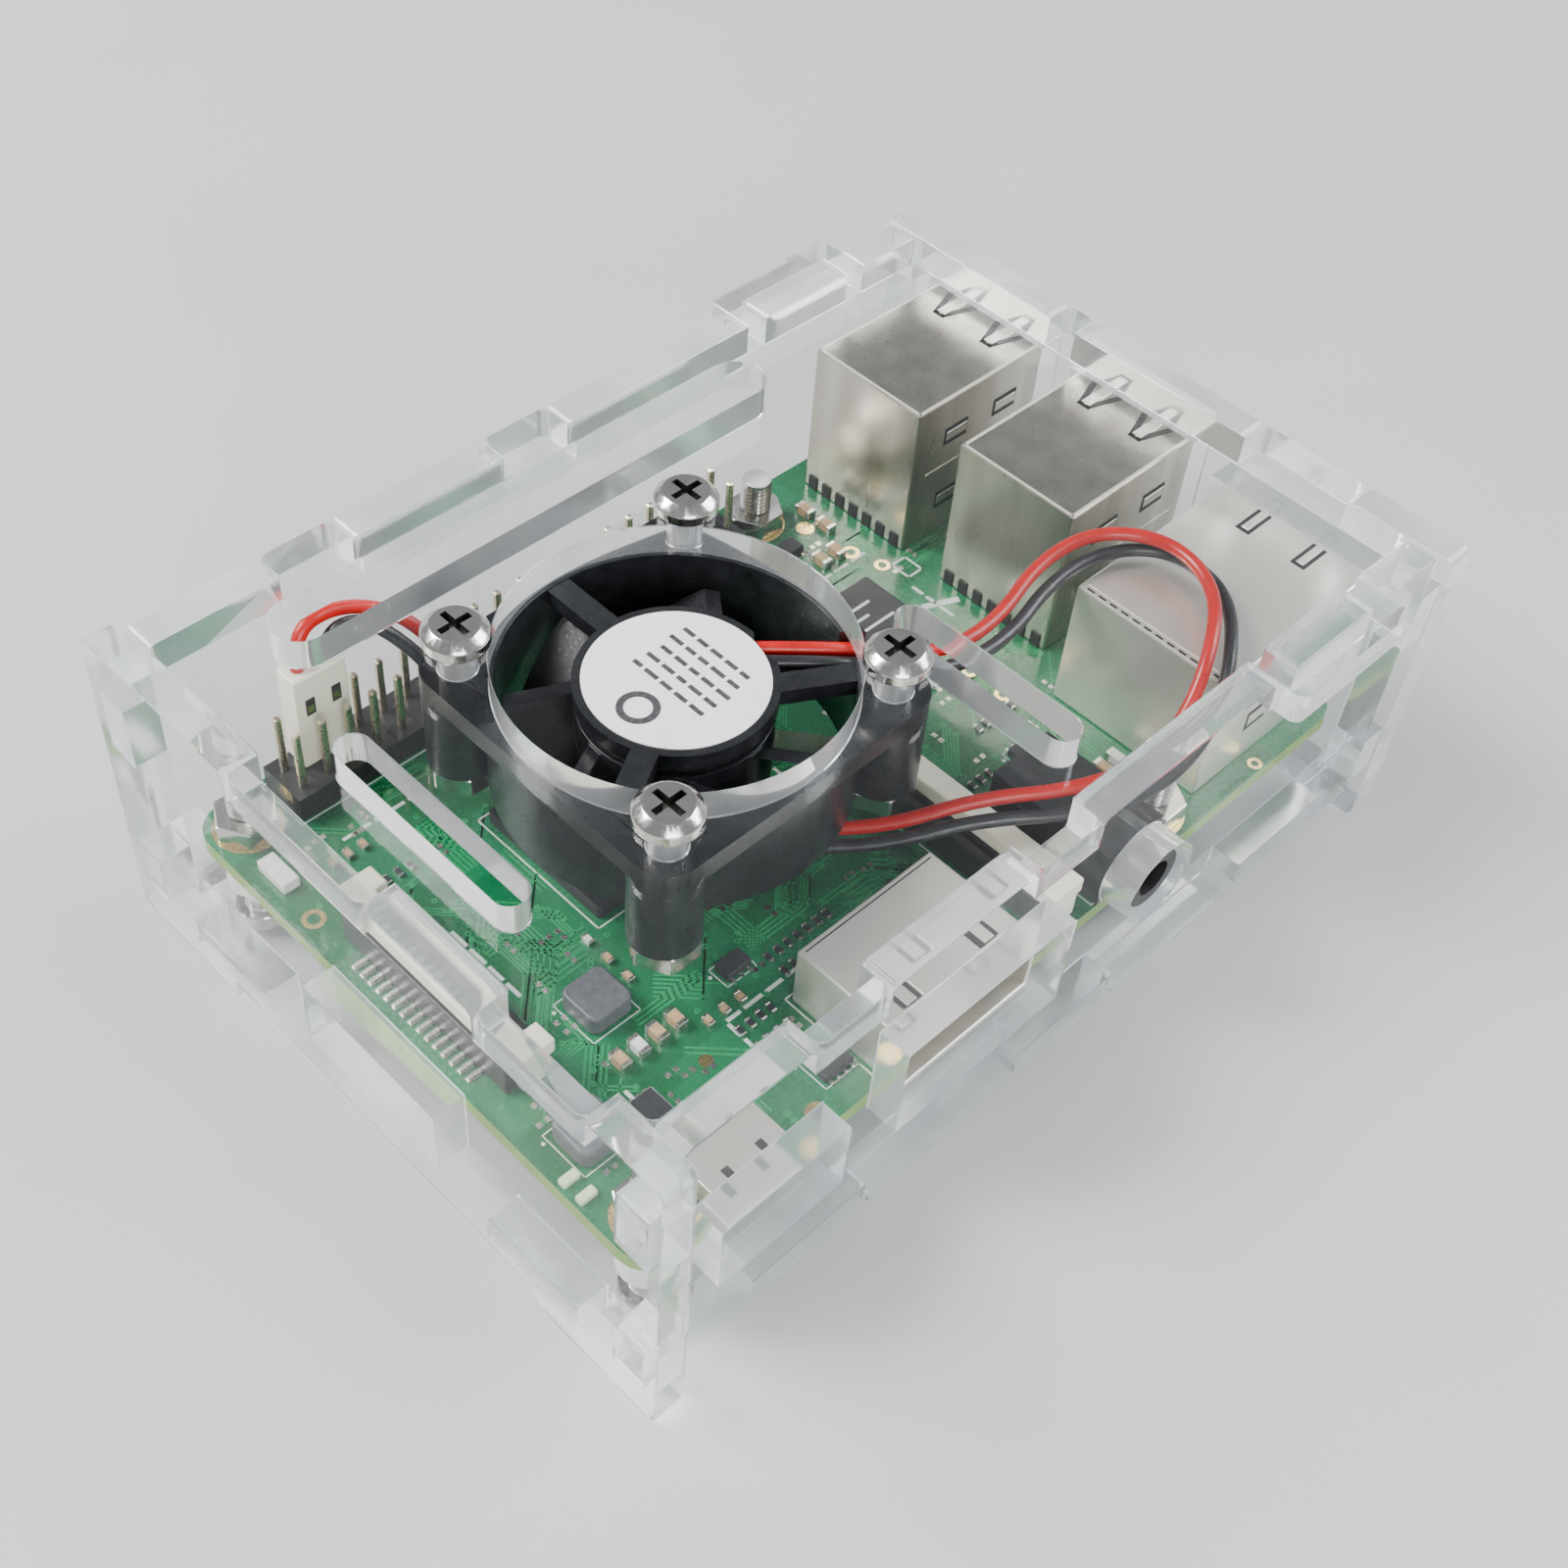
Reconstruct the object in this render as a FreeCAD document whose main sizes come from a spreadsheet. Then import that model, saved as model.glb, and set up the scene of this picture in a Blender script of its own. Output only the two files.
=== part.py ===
import FreeCAD, Part
import math
import os
import re
import Sketcher

# A single board computer in a clear snap-together case with a cooling fan in its lid.
#
# Every size is in millimetres and lives in the sheet. Places are given in the board's own
# coordinates: the origin is the board's corner beside the power socket, on its top face, X runs
# towards the USB sockets, Y towards the pin header and Z up. board_x, board_y and board_z carry
# that corner into the part's frame, whose origin is the centre of the case's footprint, on the
# surface that it stands on.

SIZES = {
    "board_x": -42.7,
    "board_y": -28.05,
    "board_z": 12,
    # circuit board
    "board_length": 85,
    "board_width": 56,
    "board_thick": 1.5,
    "board_corner": 3,
    "hole_inset": 3.5,
    "hole_pitch_x": 58,
    "hole_pitch_y": 49,
    "hole_radius": 1.375,
    # clear sheets of the case
    "sheet": 3,
    "play": 0.08,
    "inner_left": -0.1,
    "inner_right": 85.5,
    "inner_front": -0.2,
    "inner_rear": 56.3,
    "lid_under": 17,
    "floor_top": -6.5,
    "foot_bottom": -12,
    "foot_recess": 1.8,
    "end_overhang": 1.4,
    "ear_reach": 2.5,
    # fan
    "fan_x": 30,
    "fan_y": 30,
    "fan_side": 30,
    "fan_height": 10,
    "fan_pitch": 24,
    "flange_thick": 2,
    "duct_radius": 14.2,
    "lid_hole_radius": 14.5,
    "column_radius": 3.2,
    "hub_radius": 8,
    "blade_tip_radius": 13.6,
    "shaft_radius": 1,
    "shaft_play": 0.03,
    # fasteners
    "screw_radius": 1.25,
    "screw_length": 15,
    "nut_height": 2,
    "nut_radius": 2.89,
    "fan_screw_radius": 1.45,
    "fan_nut_radius": 3.1,
    "head_radius": 2.75,
    "head_height": 1.7,
    # pin header
    "pin_first_x": 8.37,
    "pin_first_y": 51.27,
    "pin_pitch": 2.54,
    "pin_side": 0.64,
    "pin_top": 8.5,
    "pin_tail": 1.6,
    "header_height": 2.5,
    # sockets
    "usb_width": 13.1,
    "usb_height": 16,
    "usb_back": 69.5,
    "socket_face": 87.1,
    "usb_one_y": 29,
    "usb_two_y": 47,
    "jack_back": 65.8,
    "jack_low_y": 2.25,
    "jack_width": 16,
    "jack_height": 13.4,
    "video_x": 24.5,
    "video_width": 15,
    "video_front": -1.5,
    "video_back": 10.1,
    "video_height": 6.3,
    "power_x": 6.8,
    "power_width": 7.6,
    "power_front": -1.3,
    "power_back": 4.4,
    "power_height": 2.7,
    "audio_x": 50,
    "audio_width": 7,
    "audio_back": 12.5,
    "audio_height": 6,
    "audio_bore": 1.75,
    "barrel_radius": 2.9,
    "barrel_reach": 2.5,
    "skin": 0.4,
    # ribbon connectors
    "ribbon_length": 22.2,
    "ribbon_body_height": 3.2,
    "ribbon_gap": 0.15,
    "display_x": 2.4,
    "display_y": 17,
    "camera_x": 48.1,
    "camera_y": 0.5,
    # wires of the fan
    "wire_diameter": 1.2,
    "plug_top": 12.4,
}

doc = FreeCAD.newDocument("single_board_computer")
sheet = doc.addObject("Spreadsheet::Sheet", "Sizes")
for row, (alias, number) in enumerate(SIZES.items(), start=1):
    sheet.set("A%d" % row, alias)
    sheet.set("B%d" % row, str(number))
    sheet.setAlias("B%d" % row, alias)
doc.recompute()

UP = FreeCAD.Vector(0, 0, 1)
nodes = []


def size(alias):
    """A cell's number, for shapes that are worked out in this file."""
    return float(sheet.get(alias))


def bound(text):
    """The text with each alias turned into a reference to its cell."""
    return re.sub(r"[a-z][a-z_]+", lambda found: "Sizes." + found.group(), str(text))


def spot(x, y, z):
    """A point in the part's frame from plain numbers in the board's coordinates."""
    return FreeCAD.Vector(x + size("board_x"), y + size("board_y"), z + size("board_z"))


def bind_place(item, x, y, z):
    """Bind an object's base point to expressions in the board's coordinates."""
    item.setExpression("Placement.Base.x", bound("board_x + (%s)" % x))
    item.setExpression("Placement.Base.y", bound("board_y + (%s)" % y))
    item.setExpression("Placement.Base.z", bound("board_z + (%s)" % z))


def block(name, x, y, z):
    """A box from a (low, high) pair of expressions along each axis."""
    item = doc.addObject("Part::Box", name)
    for edge, (low, high) in (("Length", x), ("Width", y), ("Height", z)):
        item.setExpression(edge, bound("(%s) - (%s)" % (high, low)))
    bind_place(item, x[0], y[0], z[0])
    return item


def post(name, x, y, z, radius):
    """An upright cylinder on (x, y), from z[0] to z[1]."""
    item = doc.addObject("Part::Cylinder", name)
    item.setExpression("Radius", bound(radius))
    item.setExpression("Height", bound("(%s) - (%s)" % (z[1], z[0])))
    bind_place(item, x, y, z[0])
    return item


def rod_along_y(name, x, y, z, radius):
    """A cylinder along Y on (x, z), from y[0] to y[1]."""
    item = doc.addObject("Part::Cylinder", name)
    item.Placement = FreeCAD.Placement(FreeCAD.Vector(), FreeCAD.Rotation(FreeCAD.Vector(1, 0, 0), -90))
    item.setExpression("Radius", bound(radius))
    item.setExpression("Height", bound("(%s) - (%s)" % (y[1], y[0])))
    bind_place(item, x, y[0], z)
    return item


def hexagon(name, x, y, z, radius):
    """An upright six-sided prism; radius is measured to its corners."""
    item = doc.addObject("Part::Prism", name)
    item.Polygon = 6
    item.setExpression("Circumradius", bound(radius))
    item.setExpression("Height", bound("(%s) - (%s)" % (z[1], z[0])))
    bind_place(item, x, y, z[0])
    return item


def dome(name, x, y, z, wide, narrow):
    """A cone's stump on (x, y), from z[0] to z[1]."""
    item = doc.addObject("Part::Cone", name)
    item.setExpression("Radius1", bound(wide))
    item.setExpression("Radius2", bound(narrow))
    item.setExpression("Height", bound("(%s) - (%s)" % (z[1], z[0])))
    bind_place(item, x, y, z[0])
    return item


def fuse(name, items):
    """One solid from several."""
    item = doc.addObject("Part::MultiFuse", name)
    item.Shapes = items
    item.Refine = True
    return item


def group(name, items):
    """Separate solids kept as one object."""
    item = doc.addObject("Part::Compound", name)
    item.Links = items
    return item


def cut(name, base, tools):
    """The base with every tool taken out of it."""
    item = doc.addObject("Part::Cut", name)
    item.Base = base
    item.Tool = tools[0] if len(tools) == 1 else fuse(name + "_tools", tools)
    return item


def common(name, first, second):
    """What two objects share."""
    item = doc.addObject("Part::Common", name)
    item.Base = first
    item.Tool = second
    return item


def rounded_block(name, x, y, z, radius):
    """A box with its four upright edges rounded."""
    low_x, high_x = "(%s) + (%s)" % (x[0], radius), "(%s) - (%s)" % (x[1], radius)
    low_y, high_y = "(%s) + (%s)" % (y[0], radius), "(%s) - (%s)" % (y[1], radius)
    pieces = [block(name + "_long", x, (low_y, high_y), z), block(name + "_wide", (low_x, high_x), y, z)]
    for corner_x in (low_x, high_x):
        for corner_y in (low_y, high_y):
            pieces.append(post(name + "_corner", corner_x, corner_y, z, radius))
    return fuse(name + "_rounded", pieces)


def node(label, item):
    """Keep an object as a sub-part under its label."""
    item.Label = label
    nodes.append(item)
    return item


# ---------------------------------------------------------------- flat sheets of the case


class Sheet:
    """A flat clear sheet: one padded outline, padded fingers and pocketed openings."""

    def __init__(self, name):
        self.name = name
        self.body = doc.addObject("PartDesign::Body", name)
        self.plane = [item for item in self.body.Origin.OriginFeatures if item.Role == "XY_Plane"][0]

    def sketch(self, name, rectangles, circles=()):
        """A sketch of rectangles (left, bottom, right, top) and circles (x, y, radius)."""
        sketch = self.body.newObject("Sketcher::SketchObject", self.name + "_" + name)
        sketch.AttachmentSupport = [(self.plane, "")]
        sketch.MapMode = "FlatFace"
        for sides in rectangles:
            add_rectangle(sketch, sides)
        for circle in circles:
            add_circle(sketch, circle)
        doc.recompute()
        return sketch

    def pad(self, name, rectangles):
        """Add the sheet's thickness over the sketch."""
        feature = self.body.newObject("PartDesign::Pad", self.name + "_" + name + "_pad")
        feature.Profile = self.sketch(name, rectangles)
        feature.setExpression("Length", bound("sheet"))
        doc.recompute()

    def pocket(self, name, rectangles, circles=()):
        """Cut the sketch through the sheet, and make sure that something was cut."""
        before = self.body.Shape.Volume
        feature = self.body.newObject("PartDesign::Pocket", self.name + "_" + name + "_pocket")
        feature.Profile = self.sketch(name, rectangles, circles)
        feature.Type = "ThroughAll"
        feature.Midplane = True
        doc.recompute()
        if self.body.Shape.Volume > before - 0.5:
            raise RuntimeError("%s cuts nothing from %s" % (name, self.name))

    def stand(self, rotation, x, y, z):
        """Turn the sheet and bring it to its place."""
        self.body.Placement = FreeCAD.Placement(FreeCAD.Vector(), rotation)
        bind_place(self.body, x, y, z)
        return node(self.name, self.body)


def add_rectangle(sketch, sides):
    """A rectangle whose four sides are bound to expressions."""
    left, bottom, right, top = sides
    first = sketch.GeometryCount
    corners = [FreeCAD.Vector(x, y, 0) for x, y in ((0, 0), (1, 0), (1, 1), (0, 1))]
    lines = [Part.LineSegment(corners[i], corners[(i + 1) % 4]) for i in range(4)]
    sketch.addGeometry(lines, False)
    rules = [Sketcher.Constraint("Coincident", first + i, 2, first + (i + 1) % 4, 1) for i in range(4)]
    rules += [Sketcher.Constraint("Horizontal", first + i) for i in (0, 2)]
    rules += [Sketcher.Constraint("Vertical", first + i) for i in (1, 3)]
    sketch.addConstraint(rules)
    for kind, point, text in (("DistanceX", 0, left), ("DistanceY", 0, bottom),
                              ("DistanceX", 2, right), ("DistanceY", 2, top)):
        start = 0.0 if point == 0 else 1.0
        index = sketch.addConstraint(Sketcher.Constraint(kind, -1, 1, first + point, 1, start))
        sketch.setExpression("Constraints[%d]" % index, bound(text))


def add_circle(sketch, circle):
    """A circle whose centre and radius are bound to expressions."""
    x, y, radius = circle
    index = sketch.addGeometry(Part.Circle(FreeCAD.Vector(0, 0, 0), UP, 1), False)
    for rule, text in ((Sketcher.Constraint("DistanceX", -1, 1, index, 3, 0.0), x),
                       (Sketcher.Constraint("DistanceY", -1, 1, index, 3, 0.0), y),
                       (Sketcher.Constraint("Radius", index, 1.0), radius)):
        place = sketch.addConstraint(rule)
        sketch.setExpression("Constraints[%d]" % place, bound(text))


LYING = FreeCAD.Rotation()
FACING_FRONT = FreeCAD.Rotation(FreeCAD.Vector(1, 0, 0), 90)
FACING_END = FreeCAD.Rotation(FreeCAD.Vector(1, 1, 1), 120)

LONG_FINGERS = (("12", "19"), ("34.5", "41.5"))
FLOOR_FINGERS = (("8", "20"), ("38", "50"), ("68", "80"))
LEFT_FINGERS = (("3", "14"), ("26", "42"))
RIGHT_FINGERS = (("6", "17"), ("36.5", "39.5"))
FLOOR_END_FINGERS = (("4", "14"), ("42", "52"))
TENONS = (("-8", "-3"), ("9", "15"))
EAR = ("63", "78")
EAR_SLOT = ("65.2", "75.8")
LID_TOP = "lid_under + sheet"
OUTER_FRONT = "inner_front - sheet"
OUTER_REAR = "inner_rear + sheet"
OUTER_LEFT = "inner_left - sheet"
OUTER_RIGHT = "inner_right + sheet"
FLOOR_UNDER = "floor_top - sheet"


def grown(pair):
    """A (low, high) pair opened by the play on each side."""
    return "(%s) - play" % pair[0], "(%s) + play" % pair[1]


def screw_places():
    """The four fixing holes of the board, as expressions."""
    for x in ("hole_inset", "hole_inset + hole_pitch_x"):
        for y in ("hole_inset", "hole_inset + hole_pitch_y"):
            yield x, y


def fan_screw_places():
    """The four fixing holes of the fan, as expressions."""
    for x in ("fan_x - fan_pitch / 2", "fan_x + fan_pitch / 2"):
        for y in ("fan_y - fan_pitch / 2", "fan_y + fan_pitch / 2"):
            yield x, y


def bottom_panel():
    """The floor, with fingers on all four sides and four screw holes."""
    floor = Sheet("bottom_panel")
    floor.pad("outline", [("inner_left", "inner_front", "inner_right", "inner_rear")])
    fingers = [(low, OUTER_FRONT, high, "inner_front") for low, high in FLOOR_FINGERS]
    fingers += [(low, "inner_rear", high, OUTER_REAR) for low, high in FLOOR_FINGERS]
    fingers += [(OUTER_LEFT, low, "inner_left", high) for low, high in FLOOR_END_FINGERS]
    fingers += [("inner_right", low, OUTER_RIGHT, high) for low, high in FLOOR_END_FINGERS]
    floor.pad("fingers", fingers)
    floor.pocket("holes", [], [(x, y, "screw_radius + 0.15") for x, y in screw_places()])
    floor.stand(LYING, "0", "0", FLOOR_UNDER)


def long_slot(left, bottom, right, top, along_x):
    """A slot with round ends, as a rectangle and its two end circles."""
    if along_x:
        radius, middle = "((%s) - (%s)) / 2" % (top, bottom), "((%s) + (%s)) / 2" % (top, bottom)
        ends = [("(%s) + %s" % (left, radius), middle), ("(%s) - %s" % (right, radius), middle)]
        sides = (ends[0][0], bottom, ends[1][0], top)
    else:
        radius, middle = "((%s) - (%s)) / 2" % (right, left), "((%s) + (%s)) / 2" % (right, left)
        ends = [(middle, "(%s) + %s" % (bottom, radius)), (middle, "(%s) - %s" % (top, radius))]
        sides = (left, ends[0][1], right, ends[1][1])
    return sides, [(x, y, radius) for x, y in ends]


def top_panel():
    """The lid: fan hole, slots for pins and ribbons, fingers, and the two snap ears."""
    lid = Sheet("top_panel")
    lid.pad("outline", [("inner_left", "inner_front", "inner_right", "inner_rear")])
    fingers = [(low, OUTER_FRONT, high, "inner_front") for low, high in LONG_FINGERS]
    fingers += [(low, "inner_rear", high, OUTER_REAR) for low, high in LONG_FINGERS]
    fingers += [(OUTER_LEFT, low, "inner_left", high) for low, high in LEFT_FINGERS]
    fingers += [("inner_right", low, OUTER_RIGHT, high) for low, high in RIGHT_FINGERS]
    fingers += [(EAR[0], OUTER_FRONT + " - ear_reach", EAR[1], "inner_front")]
    fingers += [(EAR[0], "inner_rear", EAR[1], OUTER_REAR + " + ear_reach")]
    lid.pad("fingers", fingers)
    slots = [long_slot("8", "49", "59.5", "54", True),
             long_slot("4", "19", "6.8", "39.5", False),
             long_slot("45", "3.5", "48", "22", False)]
    ears = [(EAR_SLOT[0], OUTER_FRONT + " - play", EAR_SLOT[1], "inner_front + play"),
            (EAR_SLOT[0], "inner_rear - play", EAR_SLOT[1], OUTER_REAR + " + play")]
    holes = [("fan_x", "fan_y", "lid_hole_radius")]
    holes += [(x, y, "fan_screw_radius + 0.15") for x, y in fan_screw_places()]
    lid.pocket("openings", [sides for sides, ends in slots] + ears, holes)
    for number, (sides, ends) in enumerate(slots):
        lid.pocket("slot_ends_%d" % number, [], ends)
    lid.stand(LYING, "0", "0", "lid_under")


def side_panel(name, y, openings, circles):
    """A long side: tenons into the end panels, notches for floor and lid, a tongue for the ear."""
    side = Sheet(name)
    side.pad("outline", [("inner_left", FLOOR_UNDER, "inner_right", LID_TOP)])
    tenons = [(OUTER_LEFT, low, "inner_left", high) for low, high in TENONS]
    tenons += [("inner_right", low, OUTER_RIGHT, high) for low, high in TENONS]
    side.pad("tenons", tenons)
    notches = []
    for pair in LONG_FINGERS + ((EAR[0], EAR_SLOT[0]), (EAR_SLOT[1], EAR[1])):
        low, high = grown(pair)
        notches.append((low, "lid_under", high, LID_TOP + " + 1"))
    for pair in FLOOR_FINGERS:
        low, high = grown(pair)
        notches.append((low, FLOOR_UNDER + " - 1", high, "floor_top + play"))
    side.pocket("notches", notches)
    if openings:
        side.pocket("openings", openings, circles)
    side.stand(FACING_FRONT, "0", y, "0")


def end_panel(name, x, lid_fingers, openings):
    """An end: two feet, slots for the tenons and the floor, notches for the lid."""
    end = Sheet(name)
    end.pad("outline", [(OUTER_FRONT + " - end_overhang", "foot_bottom",
                         OUTER_REAR + " + end_overhang", LID_TOP)])
    slots = []
    for pair in TENONS:
        low, high = grown(pair)
        slots.append((OUTER_FRONT + " - play", low, "inner_front + play", high))
        slots.append(("inner_rear - play", low, OUTER_REAR + " + play", high))
    for pair in FLOOR_END_FINGERS:
        low, high = grown(pair)
        slots.append((low, FLOOR_UNDER + " - play", high, "floor_top + play"))
    end.pocket("slots", slots)
    notches = [("9", "foot_bottom - 1", "47", "foot_bottom + foot_recess")]
    for pair in lid_fingers:
        low, high = grown(pair)
        notches.append((low, "lid_under", high, LID_TOP + " + 1"))
    end.pocket("notches", notches)
    end.pocket("openings", openings)
    end.stand(FACING_END, x, "0", "0")


def case():
    """The six clear sheets."""
    bottom_panel()
    top_panel()
    side_panel("front_side_panel", "inner_front",
               [("4.2", "-2.4", "17", "5"), ("22.6", "-1.6", "41.4", "8.4")],
               [("audio_x + audio_width / 2", "3", "4")])
    side_panel("rear_side_panel", OUTER_REAR, [], [])
    end_panel("left_end_panel", OUTER_LEFT, LEFT_FINGERS, [("20", "-6.3", "36", "0.6")])
    usb_half = "usb_width / 2 + 0.65"
    sockets = [("jack_low_y - 0.9", "-0.8", "jack_low_y + jack_width + 0.9", "jack_height + 0.9")]
    for middle in ("usb_one_y", "usb_two_y"):
        sockets.append(("%s - (%s)" % (middle, usb_half), "-0.8",
                        "%s + (%s)" % (middle, usb_half), "usb_height + 0.3"))
    end_panel("right_end_panel", "inner_right", RIGHT_FINGERS, sockets)


# ---------------------------------------------------------------- fasteners


def cross_recess(name, x, y, z):
    """Two crossed bars that cut the driver's recess."""
    bars = []
    for number, (wide, deep) in enumerate((("1.5", "0.3"), ("0.3", "1.5"))):
        bars.append(block("%s_%d" % (name, number), ("%s - %s" % (x, wide), "%s + %s" % (x, wide)),
                          ("%s - %s" % (y, deep), "%s + %s" % (y, deep)), z))
    return bars


def fasteners():
    """Board screws from below with spacers and nuts, and the fan's screws and nuts."""
    screws, spacers, nuts = [], [], []
    tip = FLOOR_UNDER + " + screw_length"
    for x, y in screw_places():
        shank = post("shank", x, y, (FLOOR_UNDER, tip), "screw_radius")
        head = post("head", x, y, (FLOOR_UNDER + " - head_height + 0.1", FLOOR_UNDER), "screw_radius * 1.85")
        slot = cross_recess("recess", x, y, (FLOOR_UNDER + " - head_height", FLOOR_UNDER + " - 0.7"))
        screws.append(cut("board_screw", fuse("board_screw_raw", [shank, head]), slot))
        tube = post("tube", x, y, ("floor_top", "-board_thick"), "screw_radius * 2")
        bore = post("bore", x, y, ("floor_top", "-board_thick"), "screw_radius + 0.05")
        spacers.append(cut("spacer", tube, [bore]))
        prism = hexagon("prism", x, y, ("0", "nut_height"), "nut_radius")
        thread = post("thread", x, y, ("0", "nut_height"), "screw_radius + 0.05")
        nuts.append(cut("nut", prism, [thread]))
    node("board_screws", group("board_screws", screws))
    node("board_spacers", group("board_spacers", spacers))
    node("board_nuts", group("board_nuts", nuts))
    fan_under = "lid_under - fan_height"
    screws, nuts = [], []
    for x, y in fan_screw_places():
        shank = post("shank", x, y, (fan_under + " - 2.6", LID_TOP), "fan_screw_radius")
        rim = post("rim", x, y, (LID_TOP, LID_TOP + " + head_height * 0.55"), "head_radius")
        crown = dome("crown", x, y, (LID_TOP + " + head_height * 0.55", LID_TOP + " + head_height"),
                     "head_radius", "head_radius * 0.72")
        slot = cross_recess("recess", x, y, (LID_TOP + " + 0.7", LID_TOP + " + head_height + 0.1"))
        screws.append(cut("fan_screw", fuse("fan_screw_raw", [shank, rim, crown]), slot))
        prism = hexagon("prism", x, y, (fan_under + " - nut_height", fan_under), "fan_nut_radius")
        thread = post("thread", x, y, (fan_under + " - nut_height", fan_under), "fan_screw_radius + 0.05")
        nuts.append(cut("fan_nut", prism, [thread]))
    node("fan_screws", group("fan_screws", screws))
    node("fan_nuts", group("fan_nuts", nuts))


# ---------------------------------------------------------------- circuit board and chips


def header_and_board():
    """The board, and the 2 by 20 pin header that passes through it."""
    pins = []
    half = "pin_side / 2"
    for column in range(20):
        for row in range(2):
            x = "pin_first_x + %d * pin_pitch" % column
            y = "pin_first_y + %d * pin_pitch" % row
            pins.append(block("pin", (x + " - " + half, x + " + " + half), (y + " - " + half, y + " + " + half),
                              ("-board_thick - pin_tail", "pin_top")))
    pins = node("gpio_header_pins", group("gpio_header_pins", pins))
    edge = "pin_pitch / 2"
    base = block("header_block", ("pin_first_x - " + edge, "pin_first_x + 19 * pin_pitch + " + edge),
                 ("pin_first_y - " + edge, "pin_first_y + pin_pitch + " + edge), ("0", "header_height"))
    node("gpio_header_base", cut("gpio_header_base", base, [pins]))
    slab = rounded_block("board", ("0", "board_length"), ("0", "board_width"), ("-board_thick", "0"),
                         "board_corner")
    holes = [post("hole", x, y, ("-board_thick", "0"), "hole_radius") for x, y in screw_places()]
    drilled = cut("board_drilled", slab, holes)
    node("circuit_board", cut("circuit_board", drilled, [pins]))


def on_top(name, x, y, length, width, height):
    """A small block centred on (x, y) on the board's top face; plain numbers."""
    return block(name, (x - length / 2, x + length / 2), (y - width / 2, y + width / 2), (0, height))


def under(name, x, y, length, width, height):
    """A small block centred on (x, y) under the board; plain numbers."""
    return block(name, (x - length / 2, x + length / 2), (y - width / 2, y + width / 2),
                 ("-board_thick - %s" % height, "-board_thick"))


def row_of(name, start, step, count, dims):
    """Equal small blocks on the board's top face, in a row."""
    return [on_top(name, start[0] + i * step[0], start[1] + i * step[1], *dims) for i in range(count)]


def chips():
    """The large chips, the small support chips and the coils."""
    node("processor_chip", rounded_block("processor_chip", (18.5, 32.5), (26, 40), (0, 1.3), "0.4"))
    node("network_chip", rounded_block("network_chip", (54.6, 63.6), (30.6, 39.6), (0, 0.9), "0.3"))
    node("memory_chip", under("memory_chip", 25, 33, 12, 11.5, 0.9))
    support = [on_top("power_manager", 8.6, 9.2, 4, 4, 0.8), on_top("power_switch", 22.4, 4.2, 3, 3, 0.8),
               on_top("regulator", 23.2, 15.4, 2.6, 1.6, 0.9), on_top("audio_buffer", 58.6, 14.6, 3, 3, 0.9),
               on_top("port_switch", 60.6, 47.2, 3, 1.7, 1), under("wireless_chip", 10, 42, 5, 5, 0.8)]
    node("support_chips", group("support_chips", support))
    coils = [rounded_block("coil_one", (10.6, 14.8), (17.6, 21.8), (0, 2), "0.8"),
             rounded_block("coil_two", (2.4, 6.6), (9.2, 13.4), (0, 2), "0.8")]
    node("inductors", group("inductors", coils))
    node("chip_antenna", on_top("chip_antenna", 2.2, 46.4, 1.6, 3.6, 1.1))
    node("status_lamps", group("status_lamps", row_of("lamp", (1.1, 7.6), (0, 1.9), 2, (1.6, 0.8, 0.6))))
    cans = [on_top("crystal_one", 54, 44.4, 3.2, 2.5, 0.8), on_top("crystal_two", 37.4, 47.2, 3.2, 2.5, 0.8)]
    node("crystals", group("crystals", cans))


def small_parts():
    """Chip capacitors and chip resistors, in the rows that they stand in."""
    large, small = (1.0, 1.9, 0.9), (0.6, 1.1, 0.5)
    capacitors = row_of("cap", (10.6, 14.6), (1.9, 0), 4, large)
    capacitors += row_of("cap", (4.2, 15.1), (1.6, 0), 2, large)
    capacitors += row_of("cap", (18.2, 12.9), (1.7, 0), 3, small)
    capacitors += row_of("cap", (16.4, 20.2), (0, 2.4), 3, small)
    capacitors += row_of("cap", (34.8, 22.4), (1.3, 0), 4, small)
    capacitors += row_of("cap", (35.6, 28.2), (0, 1.9), 4, small)
    capacitors += row_of("cap", (50.4, 28.2), (0, 2.1), 5, small)
    capacitors += row_of("cap", (53.6, 26.2), (1.6, 0), 5, small)
    capacitors += row_of("cap", (62.4, 44.2), (1.9, 0), 2, large)
    capacitors += row_of("cap", (66.2, 50.2), (0, -2.8), 2, large)
    capacitors += row_of("cap", (60.2, 9.2), (1.8, 0), 3, large)
    capacitors += row_of("cap", (6.2, 44.6), (1.5, 0), 3, small)
    node("capacitors", group("capacitors", capacitors))
    resistor = (0.5, 1.0, 0.35)
    resistors = row_of("res", (19.4, 8.6), (1.1, 0), 4, resistor)
    resistors += row_of("res", (19.4, 10.6), (1.1, 0), 4, resistor)
    resistors += row_of("res", (41, 24.6), (1.2, 0), 6, resistor)
    resistors += row_of("res", (26, 12.4), (1.1, 0), 7, resistor)
    resistors += row_of("res", (26, 14.2), (1.1, 0), 7, resistor)
    resistors += row_of("res", (49.8, 15.6), (1.1, 0), 5, resistor)
    resistors += row_of("res", (57.4, 19.8), (1.1, 0), 6, resistor)
    resistors += row_of("res", (8.4, 40.4), (1.2, 0), 3, resistor)
    resistors += row_of("res", (46.4, 46.8), (1.2, 0), 5, resistor)
    node("resistors", group("resistors", resistors))


# ---------------------------------------------------------------- sockets


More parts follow.
